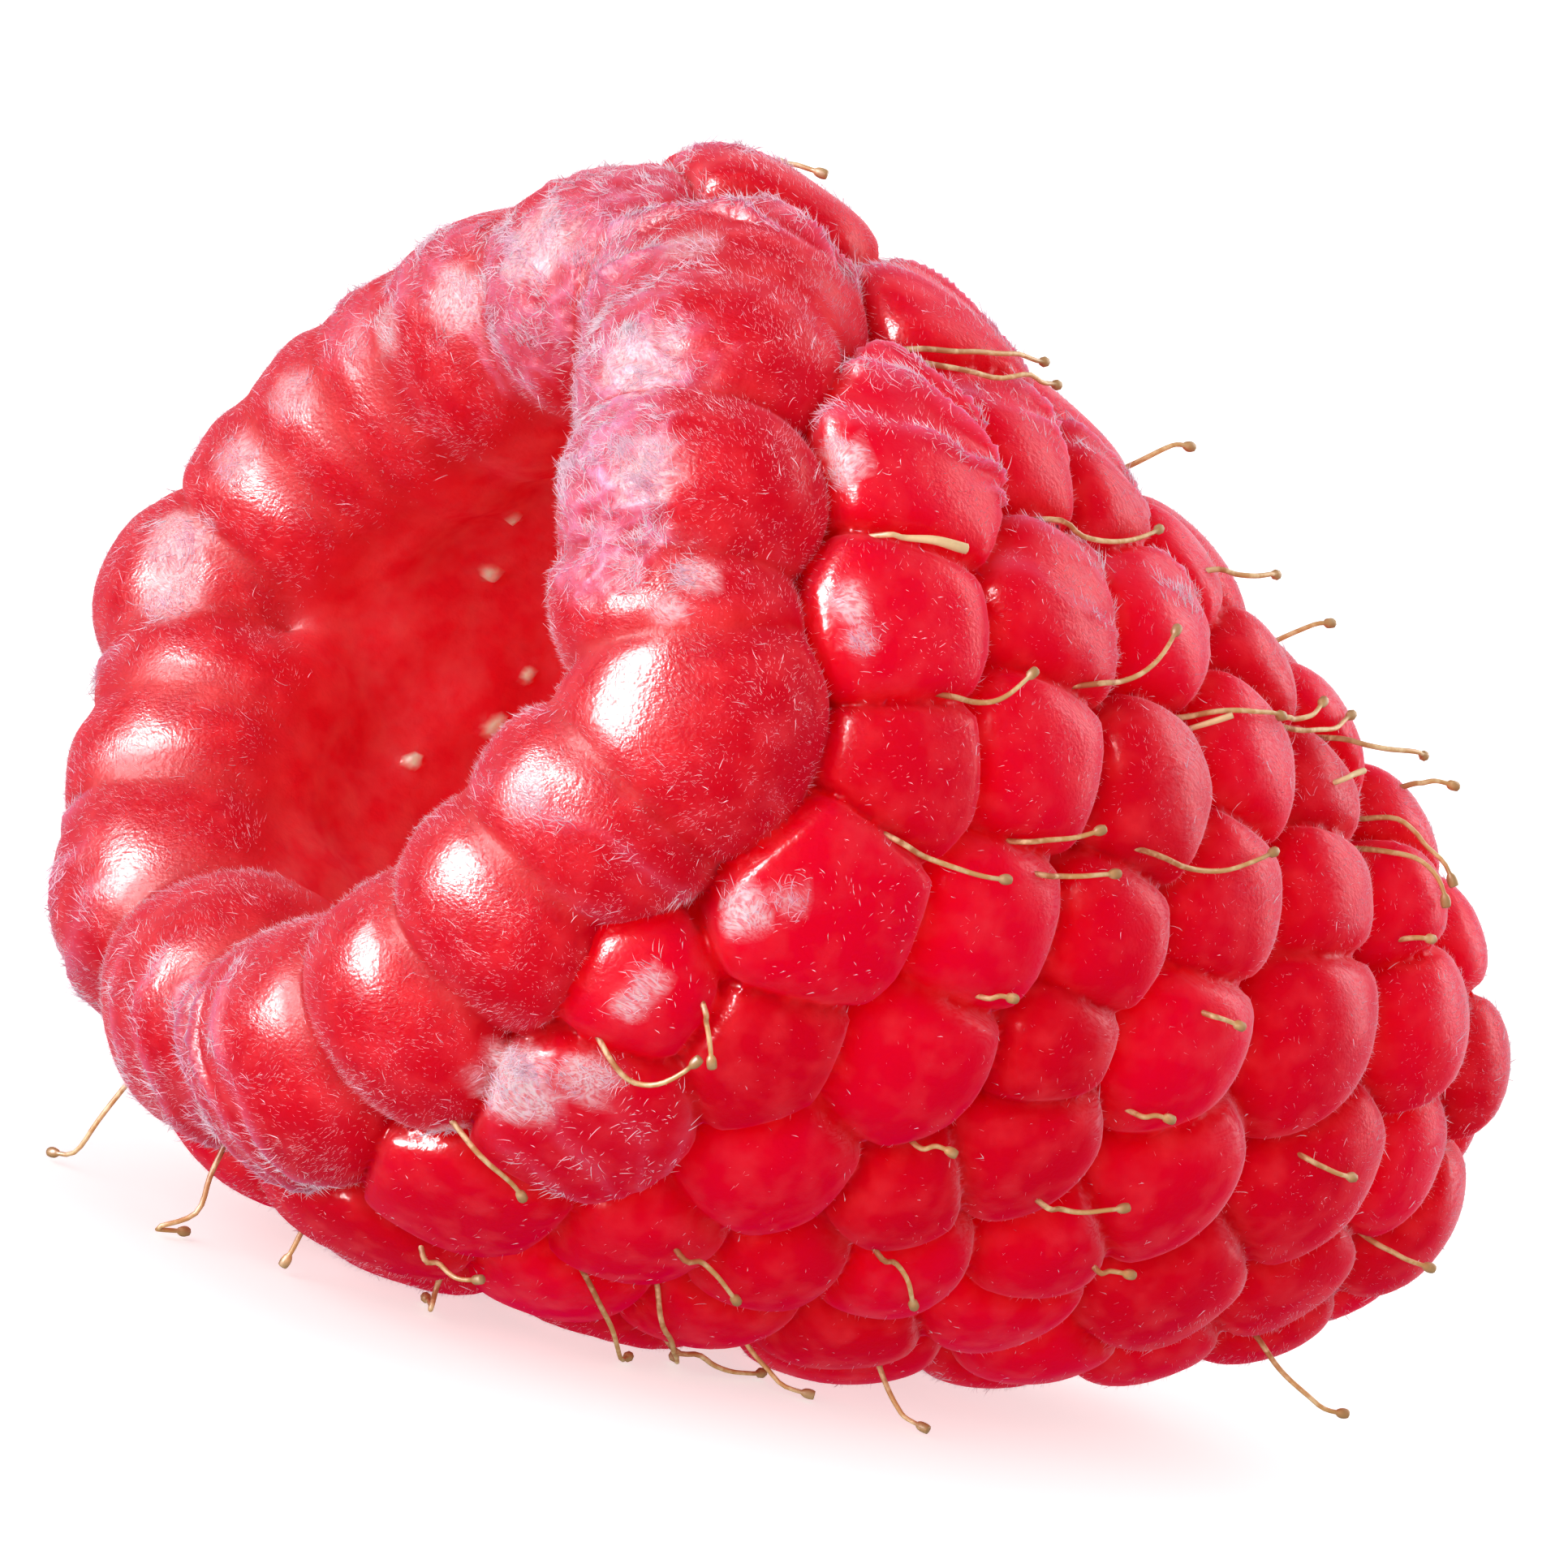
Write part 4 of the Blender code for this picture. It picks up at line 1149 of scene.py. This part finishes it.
def tube(line, radii, sides):
    """Points and triangles of a closed tube along this line."""
    headings = np.gradient(line, axis=0)
    headings /= np.linalg.norm(headings, axis=1)[:, None]
    across = np.cross(headings[0], TUBE_REFERENCE)
    points = []
    for middle, heading, radius in zip(line, headings, radii):
        across = across - heading * (across @ heading)
        across /= np.linalg.norm(across)
        beside = np.cross(heading, across)
        for side in range(sides):
            angle = 2 * math.pi * side / sides
            points.append(middle + (across * math.cos(angle) + beside * math.sin(angle)) * radius)
    points += [line[0], line[-1]]
    first_end = len(line) * sides
    triangles = ring_triangles(len(line), sides)
    for side in range(sides):
        after = (side + 1) % sides
        triangles.append((first_end, after, side))
        last = first_end - sides
        triangles.append((first_end + 1, last + side, last + after))
    return np.array(points), np.array(triangles)


def style_radii(travelled, widening):
    """Radius of a style at each distance from its root: a thread with a knob, or with a wider torn end."""
    length = travelled[-1]
    share = travelled / length
    thread = STYLE_THREAD * (THREAD_ROOT - THREAD_TAPER * share)
    if widening:
        return thread * (1 + widening * smooth_step(*TORN_WIDENS, share))
    from_tip = (length - travelled) / KNOB_LENGTH
    swell = np.clip(1 - (from_tip - KNOB_MIDDLE) ** 2 / KNOB_MIDDLE, 0.0, 1.0) ** 0.5
    return thread + (STYLE_KNOB - thread) * swell * (from_tip < KNOB_END)


def style_rings(length):
    """Shares of the length at which a style's rings stand, closer together at the knob."""
    knob = min(KNOB_LENGTH * KNOB_NECK / length, 0.5)
    thread = np.linspace(0.0, 1.0 - knob, STYLE_RINGS - KNOB_RINGS, endpoint=False)
    return np.concatenate([thread, np.linspace(1.0 - knob, 1.0, KNOB_RINGS)])


def add_style(number, points, place, material):
    """One dry style, which stands for its node."""
    line, travelled = smooth_line(spaced_out(points), LINE_POINTS)
    rings = style_rings(travelled[-1]) * travelled[-1]
    line = np.stack([np.interp(rings, travelled, line[:, axis]) for axis in range(3)], axis=1)
    phases = [number * (axis + STYLE_WAVE_SHIFT) for axis in range(3)]
    sway = np.sin((rings * 2 * math.pi / STYLE_WAVE_LENGTH)[:, None] + phases)
    line = line + sway * STYLE_WAVE * smooth_step(*STYLE_WAVE_START, rings)[:, None]
    widening = BROKEN_STYLES.get(number, 0.0)
    skin, triangles = tube(line, style_radii(rings, widening), STYLE_SIDES)
    name = f"dry_style_{number:02d}"
    mesh = triangle_mesh(name, moved(skin, place), triangles)
    shares = np.append(np.repeat(rings / rings[-1], STYLE_SIDES), [0.0, 1.0])
    add_field(mesh, "toward_tip", shares)
    add_field(mesh, "broken", np.full(len(shares), 1.0 if widening else 0.0))
    style = add_piece(name, mesh, material)
    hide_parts(f"style_{number:02d}")


def add_field(mesh, name, values):
    """Keeps a value for each point, for the materials to read."""
    mesh.attributes.new(name, "FLOAT", "POINT").data.foreach_set("value", np.asarray(values, np.float32))


def add_piece(name, mesh, material):
    """A smooth piece of the berry that moves with its body."""
    mesh.materials.append(material)
    mesh.shade_smooth()
    piece = bpy.data.objects.new(name, mesh)
    bpy.context.scene.collection.objects.link(piece)
    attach(piece, BODY)
    return piece


class Recipe:
    """A Principled material that is put together node by node."""

    def __init__(self, name):
        self.material = bpy.data.materials.new(name)
        self.material.use_nodes = True
        self.tree = self.material.node_tree
        self.shader = self.tree.nodes["Principled BSDF"]

    def add(self, kind, **settings):
        """A node of this kind with these settings."""
        made = self.tree.nodes.new(kind)
        for name, value in settings.items():
            setattr(made, name, value)
        return made

    def put(self, socket, value):
        """Gives a socket a value, or links it to another socket."""
        if isinstance(value, bpy.types.NodeSocket):
            self.tree.links.new(value, socket)
        elif isinstance(value, tuple) and socket.type == "RGBA":
            socket.default_value = (*value, 1.0)
        else:
            socket.default_value = value

    def field(self, name):
        """The value that the mesh keeps under this name."""
        return self.add("ShaderNodeAttribute", attribute_name=name).outputs["Fac"]

    def calculate(self, operation, first, second):
        """The result of an operation on two values."""
        made = self.add("ShaderNodeMath", operation=operation)
        self.put(made.inputs[0], first)
        self.put(made.inputs[1], second)
        return made.outputs[0]

    def times(self, first, second):
        """One value times another."""
        return self.calculate("MULTIPLY", first, second)

    def plus(self, first, second):
        """One value plus another."""
        return self.calculate("ADD", first, second)

    def inverse(self, value):
        """What this value leaves of 1."""
        return self.calculate("SUBTRACT", 1.0, value)

    def mix(self, amount, first, second):
        """A colour between these two."""
        made = self.add("ShaderNodeMix", data_type="RGBA")
        self.put(made.inputs["Factor"], amount)
        self.put(made.inputs[6], first)
        self.put(made.inputs[7], second)
        return made.outputs[2]

    def rescale(self, value, limits=(0.0, 1.0), results=(0.0, 1.0)):
        """The value moved from one range to another."""
        made = self.add("ShaderNodeMapRange")
        for socket, amount in zip(made.inputs, (value, *limits, *results)):
            self.put(socket, amount)
        return made.outputs[0]

    def edge(self):
        """0 where the skin faces the viewer, rising to 1 where it turns away."""
        return self.add("ShaderNodeLayerWeight").outputs["Facing"]

    def noise(self, size, detail=2.0, distortion=0.0):
        """Noise with spots of this size in millimetres."""
        made = self.add("ShaderNodeTexNoise")
        self.put(made.inputs["Vector"], self.add("ShaderNodeTexCoord").outputs["Object"])
        self.put(made.inputs["Scale"], 1 / (size * MM))
        self.put(made.inputs["Detail"], detail)
        self.put(made.inputs["Distortion"], distortion)
        return made.outputs[0]

    def fibres(self, length, width):
        """Noise drawn out into short wavy fibres, sized in millimetres."""
        place = self.add("ShaderNodeTexCoord").outputs["Object"]
        drift = self.add("ShaderNodeTexNoise")
        self.put(drift.inputs["Vector"], place)
        self.put(drift.inputs["Detail"], 0.0)
        self.put(drift.inputs["Scale"], 1 / (FIBRE_DRIFT * MM))
        bent = self.add("ShaderNodeVectorMath", operation="MULTIPLY_ADD")
        self.put(bent.inputs[0], drift.outputs["Color"])
        bent.inputs[1].default_value = (FIBRE_DRIFT * MM,) * 3
        self.put(bent.inputs[2], place)
        drawn = self.add("ShaderNodeVectorMath", operation="MULTIPLY")
        self.put(drawn.inputs[0], bent.outputs[0])
        drawn.inputs[1].default_value = (1 / (length * MM), 1 / (width * MM), 1 / (width * MM))
        made = self.add("ShaderNodeTexNoise")
        self.put(made.inputs["Vector"], drawn.outputs[0])
        self.put(made.inputs["Scale"], 1.0)
        self.put(made.inputs["Detail"], 1.0)
        return made.outputs[0]

    def bump(self, height, depth, strength=1.0):
        """Bumps this deep, in millimetres."""
        made = self.add("ShaderNodeBump")
        self.put(made.inputs["Height"], height)
        self.put(made.inputs["Distance"], depth * MM)
        self.put(made.inputs["Strength"], strength)
        self.put(self.shader.inputs["Normal"], made.outputs[0])
        self.put(self.shader.inputs["Coat Normal"], made.outputs[0])

    def finish(self, colour, roughness, **others):
        """Sets the shader's colour and roughness, and the other inputs that the caller names."""
        self.put(self.shader.inputs["Base Color"], colour)
        self.put(self.shader.inputs["Roughness"], roughness)
        for name, value in others.items():
            self.put(self.shader.inputs[name.replace("_", " ")], value)
        return self.material


def flesh_colour(recipe, mottle, fibres):
    """Red, a deeper, less bluish red in creases, darker on some drupelets and, as painted shade, on all the
    rim's drupelets. Paler layers lie over it where the skin is loose or carries down, partly as painted
    sheen, with painted sheen bands and painted highlights.
    """
    colour = recipe.mix(recipe.field("top"), CREASE_RED, TOP_RED)
    # Darker red: random tone per drupelet, and painted shade on the rim.
    colour = recipe.mix(recipe.times(recipe.field("tone_and_shade"), TONE_AND_SHADE_SHARE), colour, DARK_TONE_AND_SHADE_RED)
    colour = recipe.mix(recipe.rescale(mottle, MOTTLED, (0.0, MOTTLE_SHARE)), colour, HOLLOW_RED)
    lining = recipe.mix(recipe.rescale(mottle, LINING_MOTTLED), HOLLOW_RED, HOLLOW_DEEP_RED)
    loose_skin_sheen = recipe.times(recipe.field("loose_skin_sheen"), recipe.rescale(recipe.field("wrinkle"), results=LOOSE_SKIN_SHEEN_SHARES))
    layers = (
        (recipe.field("hollow"), lining),
        (recipe.field("deep"), HOLLOW_DEEP_RED),
        # Loose skin, paler partly as painted sheen.
        (recipe.times(loose_skin_sheen, recipe.rescale(mottle, LOOSE_SKIN_MOTTLED, LOOSE_SKIN_SHEEN_SHARES)), DOWN_AND_SHEEN_PINK),
        # Pleat ridges: paler, partly as painted highlight.
        (recipe.times(recipe.field("pleat"), PLEAT_RIDGE_SHEEN_SHARE), DOWN_AND_SHEEN_PINK),
        (recipe.times(recipe.field("fuzz"), FUZZ_SHARE), DOWN_AND_SHEEN_PINK),
        # Painted sheen: pale bands on the sides that face one way.
        (recipe.times(recipe.field("painted_sheen_band"), recipe.rescale(fibres, FIBROUS, SHEEN_BAND_SHARES)), SHEEN_BAND_PINK),
        # Painted highlights: the white glint spots.
        (recipe.times(recipe.field("painted_glint"), recipe.rescale(fibres, FIBROUS, GLINT_SHARES)), GLINT_WHITE),
        (recipe.field("scar"), SCAR_CREAM),
    )
    for amount, layer in layers:
        colour = recipe.mix(amount, colour, layer)
    return colour


def flesh_material():
    """Juicy red flesh that light passes into, paler on wrinkled loose skin and in the hollow, with painted
    sheen, painted highlights and painted shade in its colour.
    """
    recipe = Recipe("raspberry_flesh")
    mottle = recipe.noise(MOTTLE_SIZE)
    grain = recipe.noise(GRAIN_SIZE)
    fibres = recipe.fibres(FIBRE_LENGTH, FIBRE_WIDTH)
    height = recipe.plus(grain, recipe.times(mottle, MOTTLE_RELIEF))
    height = recipe.plus(height, recipe.times(recipe.field("wrinkle"), WRINKLE_RELIEF))
    fibre_part = recipe.rescale(recipe.field("fuzz"), results=FIBRE_RELIEF)
    recipe.bump(recipe.plus(height, recipe.times(fibres, fibre_part)), RELIEF_DEPTH, RELIEF_STRENGTH)
    dull = recipe.field("dull")
    gloss = recipe.rescale(recipe.edge(), MATT_EDGE, (1.0, 0.0))
    roughness = recipe.plus(recipe.rescale(grain, GRAINY, ROUGHNESS), recipe.times(dull, DULL_ROUGHNESS))
    coat = recipe.rescale(dull, (0.0, COAT_DULLED), COAT)
    sheen = recipe.rescale(recipe.edge(), VELVET_EDGE, (0.0, VELVET_SHEEN))
    recipe.shader.subsurface_method = "RANDOM_WALK"
    return recipe.finish(
        flesh_colour(recipe, mottle, fibres),
        recipe.inverse(recipe.times(gloss, recipe.inverse(roughness))),
        Subsurface_Weight=1.0, Subsurface_Radius=LIGHT_REACH, Subsurface_Scale=LIGHT_REACH_MM * MM,
        Subsurface_Anisotropy=0.3,
        IOR=1.36, Specular_IOR_Level=0.25,
        Coat_Weight=recipe.times(coat, gloss), Coat_Roughness=0.16,
        Sheen_Weight=recipe.times(sheen, recipe.field("velvet")), Sheen_Roughness=0.3, Sheen_Tint=VELVET_PINK,
    )


def down_material():
    """Pale hair with a touch of pink."""
    recipe = Recipe("down")
    colour = recipe.mix(recipe.rescale(recipe.noise(DOWN_MOTTLE_SIZE), LINING_MOTTLED), DOWN_WHITE, DOWN_PINK)
    return recipe.finish(colour, 0.55, Specular_IOR_Level=0.3)


def style_material():
    """Dry straw, red-brown at its root, grey-brown at its tip, and pale where it is torn off."""
    recipe = Recipe("dry_style")
    toward_tip = recipe.field("toward_tip")
    streak = recipe.noise(STREAK_SIZE, 3.0, 0.5)
    torn = recipe.times(recipe.field("broken"), recipe.rescale(toward_tip, TORN_PALES, (0.0, TORN_SHARE)))
    colour = recipe.mix(recipe.rescale(toward_tip, ROOT_FADES), STYLE_ROOT_BROWN, STYLE_TAN)
    colour = recipe.mix(recipe.rescale(streak, STREAKED, (0.0, STREAK_SHARE)), colour, STYLE_CREAM)
    colour = recipe.mix(recipe.rescale(toward_tip, TIP_DARKENS, (0.0, TIP_SHARE)), colour, STYLE_TIP_BROWN)
    colour = recipe.mix(torn, colour, STYLE_CREAM)
    recipe.bump(streak, STREAK_DEPTH, STREAK_STRENGTH)
    return recipe.finish(colour, recipe.rescale(streak, GRAINY, STYLE_ROUGHNESS), Specular_IOR_Level=0.4)


def floor_material():
    """Plain pale studio paper."""
    recipe = Recipe("floor_paper")
    recipe.put(recipe.shader.inputs["Emission Color"], (1.0, 1.0, 1.0))
    return recipe.finish((FLOOR_WHITE,) * 3, 0.9, Emission_Strength=FLOOR_GLOW, Specular_IOR_Level=0.0)


def add_flesh(points, triangles, fields, place):
    """The flesh, which lies flat where it touches the floor."""
    lying = moved(points, place)
    lying[:, 2] = np.maximum(lying[:, 2], 0.0)
    mesh = triangle_mesh("raspberry_flesh", lying, triangles)
    for name in FLESH_FIELDS:
        add_field(mesh, name, fields[name])
    flesh = add_piece("raspberry_flesh", mesh, flesh_material())
    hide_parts(FLESH_NODE)


def at_least(least, share):
    """This share, raised so that it starts from the least value and still ends at 1."""
    return least + (1 - least) * share


def down_densities(points, normals, fields):
    """How strong the painted sheen bands are, and how thick the velvet, standing fuzz, lying flecks and
    curved strands are at each point.
    """
    on_rim = fields["owner"] < len(RIM)
    along = points[:, 0]
    turns = turns_of(points)
    outside = 1 - smooth_step(0.0, DOWN_ENDS, fields["hollow"])
    clumps = smooth_step(*CLUMPED, ripples(points, CLUMP_SIZE, 81))
    upper = 1 - smooth_step(*UPPER_TURNS, np.abs(turns - TURN_UP))
    side = FUZZ_SIDE + FUZZ_UPPER * upper
    side += FUZZ_TIP * smooth_step(*TIP_ALONGS, along)
    side += FUZZ_BEHIND * smooth_step(*BEHIND_TURNS, -turns)
    fuzz = np.where(on_rim, FUZZ_RIM, side) * at_least(FUZZ_IN_CREASES, fields["top"])
    fuzz *= FUZZ_LEAST + FUZZ_ON_DARK * fields["tone_and_shade"]
    loose_and_glints = fields["loose_skin_sheen"] + FUZZ_ON_GLINTS * fields["painted_glint"] + fields["pleat"]
    risen = smooth_step(*VELVET_RISEN, (normals[:, 0] + normals @ radial(TURN_UP)) * DIAGONAL)
    velvet = (VELVET_UPPER * upper + smooth_step(*VELVET_ALONGS, along)) * at_least(VELVET_LEAST, risen)
    velvet = np.clip(np.where(on_rim, VELVET_RIM, velvet), 0.0, 1.0)
    flecks = patches(points, FLECKED, FLECK_RAGGED) * fields["top"] ** 3 * (FLECK_CLUMP + clumps)
    flecks += FLECK_LEAST + FLECKS_ON_GLINTS * fields["painted_glint"]
    # Painted sheen: paler where the skin faces one way, as if lit from behind.
    painted_sheen_band = smooth_step(*SHEEN_BAND_FACING, normals @ unit(np.array(SHEEN_BAND_WAY)))
    painted_sheen_band *= SHEEN_BAND_USUAL + SHEEN_BAND_UNEVEN * ripples(points, SHEEN_BAND_PATCH_SIZE, 84)
    painted_sheen_band *= np.where(on_rim, 0.0, at_least(SHEEN_BAND_LEAST, smooth_step(*SHEEN_BAND_ALONGS, along)))
    return {
        "painted_sheen_band": painted_sheen_band * outside,
        "velvet": velvet * outside * at_least(VELVET_IN_CREASES, fields["top"]),
        "fuzz": (fuzz + FUZZ_LOOSE_AND_GLINTS * loose_and_glints) * (CLUMP_LEAST + clumps) * outside,
        "flecks": flecks * outside,
        "strands": (STRAND_SHARE * fuzz + FUZZ_LOOSE_AND_GLINTS * loose_and_glints) * clumps**2 * outside,
    }


def hair_roots(random, points, triangles, normals, density, count):
    """Places for hairs, more of them where the density is higher: points on the skin and the normals."""
    a, b, c = (points[triangles[:, corner]] for corner in range(3))
    area = np.linalg.norm(np.cross(b - a, c - a), axis=1) / 2
    chance = area * np.clip(density[triangles].mean(axis=1), 0.0, None)
    chosen = random.choice(len(triangles), size=count, p=chance / chance.sum())
    first = np.sqrt(random.uniform(size=count))
    second = random.uniform(size=count)
    shares = np.stack([1 - first, first * (1 - second), first * second], axis=1)[:, :, None]
    roots = (points[triangles[chosen]] * shares).sum(axis=1)
    return roots, unit((normals[triangles[chosen]] * shares).sum(axis=1))


def lie_of(random, roots, up):
    """The way that hair lies at each root: towards the mouth in soft swirls, with some disorder."""
    count = len(roots)
    swirl = np.array([noise.noise_vector(Vector(root) / SWIRL_SIZE) for root in roots])
    way = SWIRL * swirl + DISORDER * random.normal(size=(count, 3)) - np.array([1.0, 0.0, 0.0])
    return unit(way - up * (way * up).sum(axis=1)[:, None])


def headings(random, up, sideways, leans):
    """The way that each hair points, leaning over by an angle between these two."""
    lean = np.radians(random.uniform(*leans, size=len(up)))[:, None]
    return up * np.cos(lean) + sideways * np.sin(lean)


def ring_of_three(middle, first, second, radius):
    """The corners of a thin hair's triangle, in the plane of two unit vectors."""
    angles = [2 * math.pi * corner / 3 for corner in range(3)]
    return [middle + (first * math.cos(angle) + second * math.sin(angle)) * radius for angle in angles]


def hairs(random, roots, up, lengths, leans, width):
    """Points of a thin spike at each root."""
    sideways = lie_of(random, roots, up)
    heading = headings(random, up, sideways, leans)
    length = random.uniform(*lengths, size=len(roots))[:, None]
    across = unit(np.cross(heading, up + sideways * HAIR_TWIST))
    corners = ring_of_three(roots - up * DOWN_SUNK, across, np.cross(heading, across), width / 2)
    corners.append(roots - up * DOWN_SUNK + heading * (length + DOWN_SUNK))
    return np.stack(corners, axis=1).reshape(-1, 3)


def strand_points(random, roots, up):
    """Points of a long curved spike at each root, lying on the skin: rings of three, then its tip."""
    sideways = lie_of(random, roots, up)
    heading = headings(random, up, sideways, STRAND_LEAN)
    bend = np.cross(up, sideways) * random.uniform(-STRAND_BEND, STRAND_BEND, size=len(roots))[:, None]
    length = random.uniform(*STRAND_LENGTH, size=len(roots))[:, None]
    beside = unit(np.cross(heading, up))
    corners = []
    for ring in range(STRAND_RINGS):
        share = ring / STRAND_RINGS
        middle = roots + (heading * share + bend * share**2) * length - up * DOWN_SUNK * (1 - share)
        radius = STRAND_WIDTH / 2 * (1 - STRAND_TAPER * share)
        corners += ring_of_three(middle, np.cross(beside, heading), beside, radius)
    corners.append(roots + (heading + bend) * length)
    return np.stack(corners, axis=1).reshape(-1, 3)


def spike_pattern(rings):
    """Triangles of a spike made of rings of three points and a tip."""
    pattern = [(0, 2, 1)] + ring_triangles(rings, 3)
    last = (rings - 1) * 3
    pattern += [(last + side, last + (side + 1) % 3, last + 3) for side in range(3)]
    return np.array(pattern)


def add_spikes(name, points, rings, place, material):
    """A piece of spikes from their points."""
    firsts = np.arange(0, len(points), rings * 3 + 1)[:, None, None]
    lying = moved(points, place)
    lying[:, 2] = np.maximum(lying[:, 2], 0.0)
    mesh = triangle_mesh(name, lying, (firsts + spike_pattern(rings)[None]).reshape(-1, 3))
    add_piece(name, mesh, material)


def add_down(points, triangles, fields, place):
    """Down all over the flesh, in a few pieces, with thicker flecks and longer curved strands."""
    noise.seed_set(DOWN_SEED)
    material = down_material()
    normals = point_normals(points, triangles)
    for number in range(DOWN_PIECES):
        random = np.random.default_rng(DOWN_SEED + number)
        roots = hair_roots(random, points, triangles, normals, fields["fuzz"], DOWN_HAIRS)
        spikes = hairs(random, *roots, DOWN_LENGTH, DOWN_LEAN, DOWN_WIDTH)
        add_spikes(f"down_{number + 1}", spikes, 1, place, material)
    random = np.random.default_rng(DOWN_SEED + DOWN_PIECES)
    roots = hair_roots(random, points, triangles, normals, fields["flecks"], FLECKS)
    add_spikes("flecks", hairs(random, *roots, FLECK_LENGTH, FLECK_LEAN, FLECK_WIDTH), 1, place, material)
    roots = hair_roots(random, points, triangles, normals, fields["strands"], STRANDS)
    add_spikes("strands", strand_points(random, *roots), STRAND_RINGS, place, material)


def add_dry_styles(points, triangles, place):
    """All dry styles, rooted in the flesh."""
    material = style_material()
    surface = surface_of(points, triangles)
    for number, row in enumerate((*STYLES, *far_styles()), start=1):
        add_style(number, style_points(surface, place, row), place, material)


def add_floor():
    """A plain pale floor."""
    mesh = bpy.data.meshes.new("floor")
    disc = bmesh.new()
    bmesh.ops.create_circle(disc, cap_ends=True, segments=FLOOR_SIDES, radius=FLOOR_RADIUS)
    disc.to_mesh(mesh)
    disc.free()
    mesh.materials.append(floor_material())
    floor = bpy.data.objects.new("floor", mesh)
    bpy.context.scene.collection.objects.link(floor)
    floor.visible_diffuse = False
    floor.visible_glossy = False


def camera_axes(place):
    """Directions to the picture's right, to its top and toward the camera."""
    turn = place.to_3x3().normalized()
    return [(turn @ Vector(axis)).normalized() for axis in (CAMERA_RIGHT, CAMERA_UP, CAMERA_TOWARD)]


def add_lights(place):
    """Soft boxes round the berry."""
    right, up, toward = camera_axes(place)
    low, high = CAD_BOX
    middle = (Vector(low) + Vector(high)) / 2
    for name, (direction, distance, size, power, glossy) in SOFT_BOXES.items():
        way = (right * direction[0] + up * direction[1] + toward * direction[2]).normalized()
        light = bpy.data.lights.new(name, "AREA")
        light.shape = "RECTANGLE"
        light.size, light.size_y = size
        light.energy = power
        box = bpy.data.objects.new(name, light)
        box.location = middle + way * distance
        box.rotation_euler = way.to_track_quat("Z", "Y").to_euler()
        box.visible_camera = False
        box.visible_glossy = glossy
        box.visible_diffuse = not glossy
        box.visible_transmission = not glossy
        bpy.context.scene.collection.objects.link(box)


def add_sky():
    """White all round as the camera sees it, a softer glow as light, and hardly any as reflections."""
    world = bpy.data.worlds.new("studio")
    bpy.context.scene.world = world
    world.use_nodes = True
    tree = world.node_tree
    path = tree.nodes.new("ShaderNodeLightPath")
    shown = tree.nodes["Background"]
    shown.inputs["Strength"].default_value = SKY_GLOW
    for ray, strength in (("Is Glossy Ray", SKY_REFLECTED), ("Is Camera Ray", SKY_SEEN)):
        other = tree.nodes.new("ShaderNodeBackground")
        other.inputs["Strength"].default_value = strength
        choose = tree.nodes.new("ShaderNodeMixShader")
        tree.links.new(path.outputs[ray], choose.inputs[0])
        tree.links.new(shown.outputs[0], choose.inputs[1])
        tree.links.new(other.outputs[0], choose.inputs[2])
        shown = choose
    for background in tree.nodes:
        if background.type == "BACKGROUND":
            background.inputs["Color"].default_value = (1.0, 1.0, 1.0, 1.0)
    tree.links.new(shown.outputs[0], tree.nodes["World Output"].inputs["Surface"])


def add_camera(place):
    """The camera, which frames the berry as the photo does."""
    right, up, toward = camera_axes(place)
    data = bpy.data.cameras.new("camera")
    data.sensor_width = SENSOR
    data.lens = SENSOR * CAMERA_DISTANCE / PICTURE_SPAN
    data.clip_start = NEAREST_SEEN
    data.clip_end = FURTHEST_SEEN
    camera = bpy.data.objects.new("camera", data)
    bpy.context.scene.collection.objects.link(camera)
    offset = right * AIM_RIGHT + up * AIM_UP + toward * CAMERA_DISTANCE
    facing = Matrix((right, up, toward)).transposed().to_4x4()
    camera.matrix_world = Matrix.Translation(place.translation + offset * MM) @ facing
    bpy.context.scene.camera = camera


def main():
    """Builds the raspberry, its stage, its light and the camera."""
    cells = all_drupelets()
    planes = [neighbours(cell, cells) for cell in cells]
    points, triangles = grown_skin(cells, planes)
    place = placement(points)
    fields = skin_fields(points, cells, planes)
    points, triangles, fields = lightened(detailed(points, triangles, cells, fields), triangles, fields)
    fields |= down_densities(points, point_normals(points, triangles), fields)
    add_flesh(points, triangles, fields, place)
    add_down(points, triangles, fields, place)
    add_dry_styles(points, triangles, place)
    add_floor()
    add_lights(place)
    add_sky()
    add_camera(place)
    shown = bpy.context.scene.view_settings
    shown.view_transform = "Standard"
    shown.gamma = VIEW_GAMMA


main()
